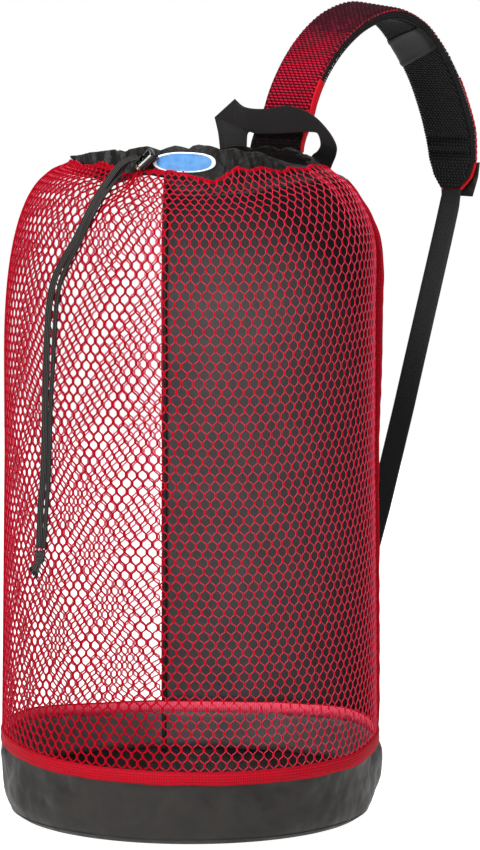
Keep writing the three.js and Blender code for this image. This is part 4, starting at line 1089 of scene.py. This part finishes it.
ruler_shares = np.linspace(0, 1, 400)
ruler_steps = np.linalg.norm(np.diff(strap_line(PAD_ROWS, ruler_shares)[0], axis=0), axis=1)
PAD_RULER = np.concatenate([[0], np.cumsum(ruler_steps)])


def pad_marks(start, end, pitch):
    """Shares of the pad's rows at an even pitch along it, between two shares."""
    low, high = np.interp([start, end], ruler_shares, PAD_RULER)
    return np.interp(np.arange(low, high, pitch), PAD_RULER, ruler_shares)


def knit(name, loop, side, finish, shading=None):
    """Knitted loops in staggered rows over one face of the pad."""
    spots = []
    for k, share in enumerate(pad_marks(0.004, 0.996, loop["along"])):
        half = np.interp(share, PAD_SHARES, PAD_ROWS[:, 2])
        count = int(2 * half / loop["across"]) + 2
        x = (np.arange(count) - count / 2 + (k * loop["slant"]) % 1) * loop["across"] / half
        last = 0.95 - 0.4 * loop["across"] / half * (side < 0)
        spots += [(share, across) for across in x if -0.85 < across < last]
    shares, across = np.array(spots).T
    points, normal, tangent = pad_face(shares, across, side)
    lay = unit(np.cross(normal, tangent) + loop["lean"] * tangent)
    tone = None if shading is None else shading(shares, points)
    return grains(name, points - normal * 0.25 * MM, lay, normal, loop["size"], finish, tone)


hand_over(knit("strap_loops_outer", LOOP, 1, loop_red, fade), "spacer_mesh")
hand_over(knit("strap_loops_inner", RIB, -1, loop_black), "spacer_mesh")

# Edges: black knit down both sides, a row of red loops along the outer +X edge, smooth red binding at its
# root, and corded piping round the tip
SIDE_KNIT = {"pitch": 3.2 * MM, "levels": (-0.62, -0.2, 0.22, 0.6), "size": (3.6 * MM, 2.6 * MM, 1.4 * MM),
             "in": 0.5 * MM, "round": 0.6 * MM}
EDGE_LOOPS = {"from": 0.205, "to": 0.60, "pitch": 5.6 * MM, "size": (4.4 * MM, 2.3 * MM, 1.7 * MM),
              "inset": 0.6 * MM, "level": 0.7}
EDGE_CORD = {"from": 0.655, "to": 0.865, "radius": 0.9 * MM, "scallop": 0.4 * MM, "pitch": 7 * MM,
             "step": 1.4 * MM}
EDGE_TAPE = {"from": 0.0, "to": 0.20, "inset": 0.5 * MM, "proud": 0.7 * MM}
PIPING = {"radius": 1.9 * MM, "from": 0.865, "level": 0.55}


def pad_edge(marks, inset, level, hand=1):
    """Points beside the pad's +X edge, or its -X edge by hand -1, at a level of its half thickness, and the
    directions there."""
    centre, sideways, outward, tangent = pad_frame(marks)
    half = column_of(PAD_ROWS, 2, marks)[:, None] - inset
    thick = column_of(PAD_ROWS, 3, marks)[:, None] / 2
    return centre + sideways * hand * half + outward * thick * level, sideways, outward, tangent


spots, lays, outs = [], [], []
for hand in (1, -1):
    for k, level in enumerate(SIDE_KNIT["levels"][:3 + hand]):
        marks = pad_marks(0.02, 0.98, SIDE_KNIT["pitch"])
        marks = marks + 0.5 * (k % 2) * (marks[1] - marks[0])
        inset = SIDE_KNIT["in"] * (2 - hand) + SIDE_KNIT["round"] * level ** 2
        spot, sideways, outward, tangent = pad_edge(marks, inset, level, hand)
        spots.append(spot)
        lays.append(unit(tangent + 0.4 * outward))
        outs.append(sideways * hand)
spots, lays, outs = (np.concatenate(part) for part in (spots, lays, outs))
hand_over(grains("strap_side_knit", spots, lays, outs, SIDE_KNIT["size"], loop_black), "spacer_mesh")

marks = pad_marks(EDGE_LOOPS["from"], EDGE_LOOPS["to"], EDGE_LOOPS["pitch"])
spots, sideways, outward, tangent = pad_edge(marks, EDGE_LOOPS["inset"], EDGE_LOOPS["level"])
edge_red = np.clip(0.72 + 0.5 * wander(spots, 6 * MM, 33), 0, 1)
lays = unit(tangent + 0.3 * outward)
outs = unit(0.4 * outward + sideways)
hand_over(grains("strap_edge_loops", spots, lays, outs, EDGE_LOOPS["size"], loop_red, edge_red), "spacer_mesh")

# Satin polyester binding: clear red, smoother and a little shinier than the base's tape.
bright_tape, tree, shader = surface("smooth_red_binding", "#b80618", 0.55, {"Specular IOR Level": 0.12})
lay = add(tree, "ShaderNodeUVMap", uv_map="UVMap").outputs[0]
ribs = add(tree, "ShaderNodeTexWave", {"Vector": lay, "Scale": BANDS / (1.5 * MM)}, bands_direction="Y")
between(tree, shader, ribs.outputs[1], "#b00516", "#c40a1c")
raised(tree, shader, ribs.outputs[1], 0.1 * MM)
shares = np.linspace(EDGE_TAPE["from"], EDGE_TAPE["to"], 50)
centre, sideways, outward, _ = pad_frame(shares)
half = column_of(PAD_ROWS, 2, shares)[:, None]
thick = column_of(PAD_ROWS, 3, shares)[:, None] / 2 + 0.6 * MM
outline = [(-EDGE_TAPE["inset"], 1.0), (EDGE_TAPE["proud"], 0.85), (EDGE_TAPE["proud"], 0.3),
           (EDGE_TAPE["proud"], -0.5), (-EDGE_TAPE["inset"], -0.7), (-2 * MM, 0)]
ring = [centre + sideways * (half + inset) + outward * (thick * level) for inset, level in outline]
hand_over(loft("strap_edge_tape", np.stack(ring, 1), bright_tape), "red_tape")

marks = pad_marks(EDGE_CORD["from"], EDGE_CORD["to"], EDGE_CORD["step"])
waves = np.arange(len(marks)) * EDGE_CORD["step"] / EDGE_CORD["pitch"]
bumps = EDGE_CORD["scallop"] * np.cos(2 * math.pi * waves)
cord_line = pad_edge(marks, 0.2 * MM - bumps[:, None], 0.8)[0]
right = pad_edge(np.linspace(PIPING["from"], 1, 40), -0.3 * MM, PIPING["level"])[0]
foot = right[-1] * np.array([[0.5, 1, 1], [0, 1, 1], [-0.5, 1, 1], [-0.9, 1, 1]])
hand_over(threads("strap_edge_cord", [cord_line], EDGE_CORD["radius"], 8, bright_tape), "red_tape")
piping = np.concatenate([right, foot])
hand_over(threads("strap_piping", [piping], PIPING["radius"], 8, bright_tape), "red_tape")


# Keeper band. A smooth band of coated nylon sewn slantwise across the pad's inner face, with a raised seam at
# each side.
KEEPER = {"from": 0.515, "to": 0.585, "skew": 0.03, "lift": 0.9 * MM, "thick": 1.2 * MM, "steps": 24,
          "columns": 17, "reach": 0.985, "seams": (0.1, 0.9), "seam_half": 0.05, "seam_lift": 0.8 * MM}

# Coated nylon: almost black and dull, smoother than the knit round it.
smooth_nylon, tree, shader = surface("coated_nylon_band", "#141313", 0.55, {"Specular IOR Level": 0.15})
place = add(tree, "ShaderNodeTexCoord").outputs["Object"]
mottled(tree, shader, "#0d0c0c", "#131212", 10 * MM, place)
fine = add(tree, "ShaderNodeTexNoise", {"Vector": place, "Scale": 1 / (1.2 * MM)})
raised(tree, shader, fine.outputs[0], 0.08 * MM)
ruled = np.linspace(0, 1, KEEPER["steps"])
lip = sum(np.exp(-((ruled - seam) / KEEPER["seam_half"]) ** 2) for seam in KEEPER["seams"])
top, bottom = [], []
for across in np.linspace(-1.0, 1.0, KEEPER["columns"]):
    shares = KEEPER["from"] + (KEEPER["to"] - KEEPER["from"]) * ruled - KEEPER["skew"] * across
    spot, normal, _ = pad_face(shares, np.full_like(shares, across * KEEPER["reach"]), -1)
    top.append(spot + normal * (KEEPER["lift"] + KEEPER["thick"] / 2 + KEEPER["seam_lift"] * lip)[:, None])
    bottom.append(spot + normal * (KEEPER["lift"] - KEEPER["thick"] / 2))
hand_over(loft("strap_band", np.stack(top + bottom[::-1], 1), smooth_nylon), "nylon", "strap_keeper")


# Tip tab and tail. The tab of doubled nylon backs the pad's tip, and flat ribbed webbing runs from it down to
# the seam at the foot of the base.
TAB_ROWS = np.array([(457.6, 674, 31), (457.4, 658, 29), (454.6, 636, 24)]) * MM
TAB = {"thick": 2.4 * MM, "lift": 6.6 * MM, "left": 0.75, "right": 1.1}
TAIL_ROWS = np.array([
    (453.85, 643.4), (446, 623), (369, 432), (290, 236), (214, 48), (202, 27), (200.6, 15)]) * MM
TAIL_HALF = 13 * MM
# By share of the hanging webbing's rows: its drift sideways, its sag outwards and its turn
TAIL_SHARES = (0, 0.1, 0.17, 0.25, 0.36, 0.45, 0.6, 0.7, 1)
TAIL_DRIFT = np.array([3, 3.5, 4, 5.5, 7.5, 8, 6, 2, 0]) * MM
TAIL_SAG = np.array([0, 0, 0.5, 1.5, 3.5, 4, 2, 0, 0]) * MM
TAIL_TURN = np.radians([0, -5, -9, -11, -13, -13, -6, 0, 0])
shares = np.linspace(0, 1, 25)
centre, outward, _ = strap_line(TAB_ROWS, shares)
centre = centre + outward * TAB["lift"]
half = column_of(TAB_ROWS, 2, shares)[:, None] * [1, 0, 0]
sections = webbing_sections(centre - TAB["left"] * half, centre + TAB["right"] * half, TAB["thick"])
hand_over(loft("strap_tip_flap", sections, nylon), "nylon", "strap_tip_tab")
shares = np.linspace(0, 1, 121)
centre, outward, _ = strap_line(TAIL_ROWS, shares)
centre[:, 0] = np.interp(shares, TAIL_SHARES, TAIL_DRIFT)
centre[:, 1] += np.interp(shares, TAIL_SHARES, TAIL_SAG)
turned = np.interp(shares, TAIL_SHARES, TAIL_TURN)[:, None]
half = TAIL_HALF * (np.cos(turned) * [1, 0, 0] - np.sin(turned) * outward)
sections = webbing_sections(centre - half, centre + half, WEBBING["thick"])
hand_over(loft("strap_webbing", sections, webbing), "webbing", "strap_tail")


# Cord lock. A moulded barrel with a cross slot for the two strands, and a sprung plunger with a plated ring
# and a brass tip that stands out of its lower end.
LOCK = {"radius": 118.5 * MM, "z": 707 * MM, "tilt": math.radians(42), "slot_turn": math.radians(45),
        "slot_at": 13.5 * MM, "slot_wide": 7.9 * MM, "slot_high": 7.6 * MM}
BARREL = {"radius": 7.3 * MM, "length": 21 * MM, "rim": 1 * MM, "bore": 4.7 * MM, "bore_depth": 15 * MM,
          "sides": 48}
PLUNGER = {"radius": 4.3 * MM, "inside": 10.4 * MM, "outside": 5 * MM, "sides": 32}
across = Vector(polar(LOCK_AT + math.pi / 2, 1.0, 0.0))
outwards = Vector(polar(LOCK_AT, 1.0, 0.0))
down = -across * math.cos(LOCK["tilt"]) - Vector((0, 0, math.sin(LOCK["tilt"])))
slot_axis = down.cross(outwards) * math.cos(LOCK["slot_turn"]) + outwards * math.sin(LOCK["slot_turn"])
third = down.cross(slot_axis)
LOCK_END = np.array(Vector(polar(LOCK_AT, LOCK["radius"], LOCK["z"])) - down * BARREL["length"] / 2)
LOCK_FRAME = np.array([slot_axis, third, down])


def lock_turned(name, profile, finish, sides):
    """Closed piece turned about the lock's own axis from radii and distances along it, capped at its ends."""
    turn = circle(sides)
    rings = [np.stack([r * np.cos(turn), r * np.sin(turn), np.full(sides, z)], -1) for r, z in profile]
    return loft(name, np.array(rings) @ LOCK_FRAME + LOCK_END, finish)


# Moulded acetal: black with a hard gloss, lightly scuffed.
gloss, tree, shader = surface("moulded_black_acetal", "#040404", 0.14,
                              {"Specular IOR Level": 0.4, "Coat Weight": 0.35, "Coat Roughness": 0.05})
place = add(tree, "ShaderNodeTexCoord").outputs["Object"]
scuffs = add(tree, "ShaderNodeTexNoise", {"Vector": place, "Scale": 1 / (3 * MM), "Detail": 3})
worn = add(tree, "ShaderNodeMapRange", {0: scuffs.outputs[0], 1: 0.35, 2: 0.7, 3: 0.1, 4: 0.24})
tree.links.new(worn.outputs[0], shader.inputs["Roughness"])
R, L, rim = BARREL["radius"], BARREL["length"], BARREL["rim"]
bore = BARREL["bore"]
profile = [(0.6 * MM, 0), (R - 1.6 * rim, 0), (R - 0.5 * rim, 0.3 * rim), (R, 1.2 * rim), (R, 1.6 * rim),
           (R, 0.3 * L), (R, 0.55 * L), (R, L - 1.6 * rim), (R, L - rim), (R - 0.3 * rim, L - 0.3 * rim),
           (R - rim, L), (bore + 0.2 * MM, L), (bore, L - 0.2 * MM), (bore, L - 0.6 * MM),
           (bore, L - BARREL["bore_depth"]), (0.6 * MM, L - BARREL["bore_depth"])]
barrel = lock_turned("lock_barrel", profile, gloss, BARREL["sides"])
cutter_mesh = bpy.data.meshes.new("lock_slot")
corners = [(x, y, z) for x in (-2 * R, 2 * R) for y in (-LOCK["slot_high"] / 2, LOCK["slot_high"] / 2)
           for z in (LOCK["slot_at"] - LOCK["slot_wide"] / 2, LOCK["slot_at"] + LOCK["slot_wide"] / 2)]
box_faces = [(0, 1, 3, 2), (4, 6, 7, 5), (0, 4, 5, 1), (2, 3, 7, 6), (0, 2, 6, 4), (1, 5, 7, 3)]
cutter_mesh.from_pydata((np.array(corners) @ LOCK_FRAME + LOCK_END).tolist(), [], box_faces)
cutter = bpy.data.objects.new("lock_slot", cutter_mesh)
bpy.context.scene.collection.objects.link(cutter)
cut = barrel.modifiers.new("slot", "BOOLEAN")
cut.object = cutter
cut.operation = "DIFFERENCE"
graph = bpy.context.evaluated_depsgraph_get()
barrel_mesh = bpy.data.meshes.new_from_object(barrel.evaluated_get(graph))
barrel.modifiers.clear()
barrel.data = barrel_mesh
bpy.data.objects.remove(cutter)
hand_over(barrel, "lock_body", "cord_lock_barrel")

# Plated steel and turned brass: bright clean metal, a little uneven from handling.
chrome, tree, shader = surface("plated_steel", "#d9d9d6", 0.12, {"Metallic": 1})
mottled(tree, shader, "#c2c2c0", "#e2e2df", 2 * MM)
brass, tree, shader = surface("turned_brass", "#c9a24a", 0.22, {"Metallic": 1})
mottled(tree, shader, "#b18a3a", "#d8b45c", 2 * MM)
r = PLUNGER["radius"]
start = L - PLUNGER["inside"]
end = L + PLUNGER["outside"]
profile = [(0.5 * MM, start), (r, start), (r, start + 0.4 * MM), (r, L + 0.4 * MM), (r, L + 1.9 * MM),
           (r - 0.3 * MM, L + 2.2 * MM), (0.72 * r, L + 2.3 * MM), (0.72 * r, L + 2.5 * MM),
           (0.72 * r, end - 1.2 * MM), (0.62 * r, end - 0.5 * MM), (0.4 * r, end - 0.1 * MM), (0.1 * r, end)]
plunger = lock_turned("lock_plunger", profile, chrome, PLUNGER["sides"])
two_toned(plunger, brass, 6 * PLUNGER["sides"])
hand_over(plunger, "lock_plunger", "cord_lock_plunger", body="plunger")


# Drawcord. Two strands of flat braid, ribbed lengthwise, that leave the lock one on the other, fall over the
# shoulder and hang down the front, where one overhand knot joins them above their frayed ends.
# The broad side lies across the line to the bag's axis, and to one point of it above the height given last.
CORD = {"width": 7 * MM, "thick": 3 * MM, "ribs": 4, "corners": 32, "steps": 170, "braid": 2.3 * MM,
        "plait": 1.6 * MM, "faces": 500 * MM}
# Degrees from the front, distance from the axis and height, both in millimetres
STRANDS = {"left": np.array([
    (15.6, 125.2, 708.6), (12.5, 130.4, 708.2), (10, 135.6, 704.8), (8.3, 140.2, 699.6), (7, 145, 693),
    (5.9, 150, 685.5), (4.8, 156.5, 677), (4.1, 164.5, 666.8), (3.2, 175.5, 650.5), (0.8, 185.5, 626.5),
    (-3, 191.5, 603.4), (-5.5, 195, 585), (-6.6, 198, 562), (-7, 200, 534), (-7.5, 200.6, 496),
    (-8, 200.6, 460), (-8.2, 200.7, 428), (-9, 201, 376), (-9.9, 201.6, 350),
    (-10.1, 202.4, 328), (-10, 204, 304),
]), "right": np.array([
    (13.5, 120.2, 709.8), (11.2, 124, 708), (9.6, 128.6, 704), (8.6, 133.4, 698.4), (8, 138.4, 691.6),
    (7.2, 145.6, 684.6), (6.5, 153, 677), (6.1, 163.6, 667.4), (5.2, 177, 649.5), (2.7, 185.6, 625),
    (-0.3, 191, 604), (-2.5, 194.6, 586), (-3.5, 197.6, 564), (-3.8, 200, 534), (-4.5, 200.6, 496),
    (-5.4, 200.6, 460), (-5.8, 200.7, 428), (-6.5, 201, 376), (-7.1, 201.6, 350),
    (-7.5, 202.4, 328), (-7.7, 204, 304),
])}
# Degrees by which each strand's broad side is turned from the bag, by share of its length
TURN_SHARES = (0, 0.05, 0.2, 0.4, 1)
STRAND_TURNS = {"left": (0, 26, 28, 36, 34), "right": (0, 26, 26, -14, -14)}
KNOT = {"at": math.radians(-8.9), "r": 206 * MM, "z": 295.5 * MM, "wide": 3.2 * MM, "deep": 1.5 * MM,
        "tall": 2.7 * MM, "cord": 2.6 * MM, "tight": 0.72, "steps": 72, "sides": 12}
FRAY = {"tail": 15 * MM, "turn": math.radians(38), "steps": 14, "widths": (2.6, 3.6), "half": 1.1 * MM,
        "fibres": 46, "length": 7 * MM, "radius": 0.3 * MM}

# Braided polyester: charcoal, dull, with lengthwise ribs and a slanted plait on each; a painted highlight makes
# the ribs' crowns pale and painted shade darkens the grooves.
braid, tree, shader = surface("flat_charcoal_braid", "#1c1b1b", 0.62, {"Specular IOR Level": 0.2})
lay = add(tree, "ShaderNodeUVMap", uv_map="UVMap").outputs[0]
ribs = add(tree, "ShaderNodeTexWave", {"Vector": lay, "Scale": BANDS / CORD["braid"]}, bands_direction="X")
slanted = add(tree, "ShaderNodeMapping", {"Vector": lay, "Rotation": (0, 0, math.radians(50))})
plait = add(tree, "ShaderNodeTexWave", {"Vector": slanted.outputs[0], "Scale": BANDS / CORD["plait"]})
woven = add(tree, "ShaderNodeMath", {0: plait.outputs[1], 1: 0.35, 2: ribs.outputs[1]},
            operation="MULTIPLY_ADD")
# Painted highlight on the crowns and painted shade in the grooves
shine = add(tree, "ShaderNodeMapRange", {0: woven.outputs[0], 1: 0.5, 2: 1.35})
between(tree, shader, shine.outputs[0], "#080707", "#454240")
raised(tree, shader, woven.outputs[0], 0.25 * MM)


def flat_braid(route, turned):
    """Sections of flat braid along a route, its broad side laid towards the bag and then turned."""
    shares = np.linspace(0, 1, CORD["steps"])
    path = through(route, shares)
    along = unit(np.gradient(path, axis=0))
    heart = np.stack([0 * path[:, 2], 0 * path[:, 2], np.minimum(path[:, 2], CORD["faces"])], -1)
    side = unit(np.cross(along, path - heart))
    out = np.cross(side, along)
    angle = np.radians(np.interp(shares, TURN_SHARES, turned))[:, None]
    side, out = side * np.cos(angle) + out * np.sin(angle), out * np.cos(angle) - side * np.sin(angle)
    turn = circle(CORD["corners"])
    flat = signed_power(np.cos(turn), 0.75)
    height = signed_power(np.sin(turn), 0.6)
    ribbed = 0.75 + 0.25 * np.cos(flat * math.pi * CORD["ribs"] + math.pi * (CORD["ribs"] - 1))
    wide = CORD["width"] / 2 * flat
    tall = CORD["thick"] / 2 * height * ribbed
    return path, path[:, None] + side[:, None] * wide[:, None] + out[:, None] * tall[:, None]


UP = np.array([0, 0, 1])
knot_at = polar(KNOT["at"], KNOT["r"], KNOT["z"])
knot_side = polar(KNOT["at"] + math.pi / 2, 1.0, 0.0)
knot_out = polar(KNOT["at"], 1.0, 0.0)
t = circle(KNOT["steps"])
trefoil = np.stack([np.sin(t) + 2 * np.sin(2 * t), np.sin(3 * t), np.cos(t) - 2 * np.cos(2 * t)], -1)
loops = (trefoil[:, :1] * knot_side * KNOT["wide"] + trefoil[:, 1:2] * knot_out * KNOT["deep"]
         + trefoil[:, 2:] * UP * KNOT["tall"]) * KNOT["tight"]
along = unit(np.roll(loops, -1, 0) - np.roll(loops, 1, 0))
side = unit(np.cross(along, knot_out))
out = np.cross(side, along)
turn = circle(KNOT["sides"])
round_off = side[:, None] * np.cos(turn)[:, None] + 0.8 * out[:, None] * np.sin(turn)[:, None]
knot = loft("drawcord_knot_braid", loops[:, None] + KNOT["cord"] * round_off + knot_at, braid, ring=True)
hand_over(knot, "cord", "drawcord_knot")

tail_dir = unit(-knot_side * math.sin(FRAY["turn"]) - UP * math.cos(FRAY["turn"]))
tail_start = knot_at - UP * 4 * MM
for k, (spread, deep) in enumerate(((-0.16, 0.6), (0.2, -0.6))):
    heading = unit(tail_dir + knot_side * spread)
    route = np.array([tail_start + heading * FRAY["tail"] * s + knot_out * deep * MM
                      for s in (0, 0.35, 0.7, 1)])
    path = through(route, np.linspace(0, 1, FRAY["steps"]))
    wide_dir = unit(np.cross(heading, knot_out))
    widths = np.linspace(*FRAY["widths"], FRAY["steps"]) * MM
    rims = circle(FRAY["steps"])
    sections = (path[:, None] + wide_dir * (widths[:, None] * np.cos(rims))[..., None]
                + knot_out * (FRAY["half"] * np.sin(rims))[:, None])
    made = hand_over(loft("drawcord_tail_%d" % k, sections, braid), "cord")
    spots = np.linspace(-1, 1, FRAY["fibres"] // 2)
    roots = path[-1] + wide_dir * (spots * widths[-1])[:, None]
    lines = []
    for spot, root in zip(spots, roots):
        lean = heading + wide_dir * (0.4 * spot + 0.15 * noise.noise((spot * 9, k, 3.1)))
        bend = knot_out * 0.2 * noise.noise((spot * 7, k, 8.2))
        tip = root + unit(lean + bend) * FRAY["length"] * (0.75 + 0.35 * noise.noise((spot * 11, k, 5.4)))
        lines.append(np.array([root - heading * MM, (root + tip) / 2 + bend * MM, tip]))
    made = hand_over(threads("drawcord_fray_%d" % k, lines, FRAY["radius"], 4, braid), "cord")

for name, rows in STRANDS.items():
    route = polar(np.radians(rows[:, 0]), rows[:, 1] * MM, rows[:, 2] * MM)
    path, sections = flat_braid(route, STRAND_TURNS[name])
    made = hand_over(loft("drawcord_braid_" + name, sections, braid), "cord", "drawcord_" + name)


# Studio. A white floor and backdrop in a dimmer room, soft light from above, from high at the left and from
# the right, a low strip for the lock's glint, and a camera far off at the height and angle of the photograph.
CAMERA = {"at": (3247.2 * MM, -3802.0 * MM, 1040 * MM), "aim": (0, 0, 390 * MM), "frame_high": 850,
          "frame_wide": 480, "focal_px": 4725, "axis_px": (190, 449.7), "sensor": 36}
SKY = {"backdrop": 1.0, "room": 0.25, "turn": (0.4, 0.92), "above": 0.5, "from": 0.2, "to": 0.45,
       "away": (-0.649, 0.760, 0)}
FLOOR = {"half": 2.4, "drop": 0.2 * MM, "lit": (-0.8, -0.3), "glow": 0.95}

# Acrylic sheet: matt white under the bag's front, lit from below further back.
ground, tree, shader = surface("lit_acrylic_floor", "#bcbcbb", 0.9, {"Emission Color": (1, 1, 1, 1)})
place = add(tree, "ShaderNodeTexCoord").outputs["Object"]
mottled(tree, shader, "#bababa", "#c0c0bf", 0.5, place)
ahead = add(tree, "ShaderNodeVectorMath", {0: place, 1: SKY["away"]}, operation="DOT_PRODUCT")
under_lit = add(tree, "ShaderNodeMapRange",
                {0: ahead.outputs["Value"], 1: FLOOR["lit"][0], 2: FLOOR["lit"][1], 3: 0, 4: FLOOR["glow"]})
tree.links.new(under_lit.outputs[0], shader.inputs["Emission Strength"])
corners = [(x * FLOOR["half"], y * FLOOR["half"], 0) for x, y in ((-1, -1), (1, -1), (1, 1), (-1, 1))]
floor = mesh_object("studio_floor", corners, [(0, 1, 2, 3)], ground)
floor.location.z = -FLOOR["drop"]

world = bpy.data.worlds.new("studio")
bpy.context.scene.world = world
world.use_nodes = True
tree = world.node_tree
direction = add(tree, "ShaderNodeTexCoord").outputs["Generated"]
height = add(tree, "ShaderNodeSeparateXYZ", {0: direction}).outputs[2]
dome = add(tree, "ShaderNodeMapRange", {0: height, 1: SKY["from"], 2: SKY["to"], 3: 1, 4: SKY["above"]})
facing = add(tree, "ShaderNodeVectorMath", {0: direction, 1: SKY["away"]}, operation="DOT_PRODUCT")
white = add(tree, "ShaderNodeMapRange",
            {0: facing.outputs["Value"], 1: SKY["turn"][0], 2: SKY["turn"][1], 3: SKY["room"],
             4: SKY["backdrop"]}, interpolation_type="SMOOTHSTEP")
glow = add(tree, "ShaderNodeMath", {0: dome.outputs[0], 1: white.outputs[0]}, operation="MULTIPLY")
tree.nodes["Background"].inputs["Color"].default_value = (1, 1, 1, 1)
tree.links.new(glow.outputs[0], tree.nodes["Background"].inputs["Strength"])


def soft_light(name, place, aim, size, power, roll=0.0):
    light = bpy.data.lights.new(name, "AREA")
    light.shape = "RECTANGLE"
    light.size, light.size_y = size
    light.energy = power
    made = bpy.data.objects.new(name, light)
    made.location = place
    facing = (Vector(aim) - Vector(place)).to_track_quat("-Z", "Y")
    made.rotation_euler = (facing @ Quaternion((0, 0, 1), roll)).to_euler()
    bpy.context.scene.collection.objects.link(made)
    return made


soft_light("top_light", (0.2, 0.1, 3.2), (0, 0, 0.3), (2.6, 2.6), 70)
soft_light("key_light", (0.8, -2.4, 2.95), (0, 0, 0.4), (1.2, 1.2), 125)
soft_light("front_light", (3.3, -2.2, 0.9), (0, 0, 0.3), (1.4, 0.8), 40)
soft_light("strip_light", (0.05, -1.8, 0.41), (0.04, -0.11, 0.7), (0.75, 0.25), 12, math.radians(-45))

camera_data = bpy.data.cameras.new("photo_camera")
camera_data.sensor_fit = "VERTICAL"
camera_data.sensor_height = CAMERA["sensor"]
camera_data.lens = CAMERA["sensor"] * CAMERA["focal_px"] / CAMERA["frame_high"]
camera_data.shift_x = (CAMERA["frame_wide"] / 2 - CAMERA["axis_px"][0]) / CAMERA["frame_high"]
camera_data.shift_y = (CAMERA["axis_px"][1] - CAMERA["frame_high"] / 2) / CAMERA["frame_high"]
camera_data.clip_end = 50
camera = bpy.data.objects.new("photo_camera", camera_data)
camera.location = CAMERA["at"]
camera.rotation_euler = (Vector(CAMERA["aim"]) - Vector(CAMERA["at"])).to_track_quat("-Z", "Y").to_euler()
bpy.context.scene.collection.objects.link(camera)
bpy.context.scene.camera = camera
bpy.context.scene.view_settings.view_transform = "Standard"
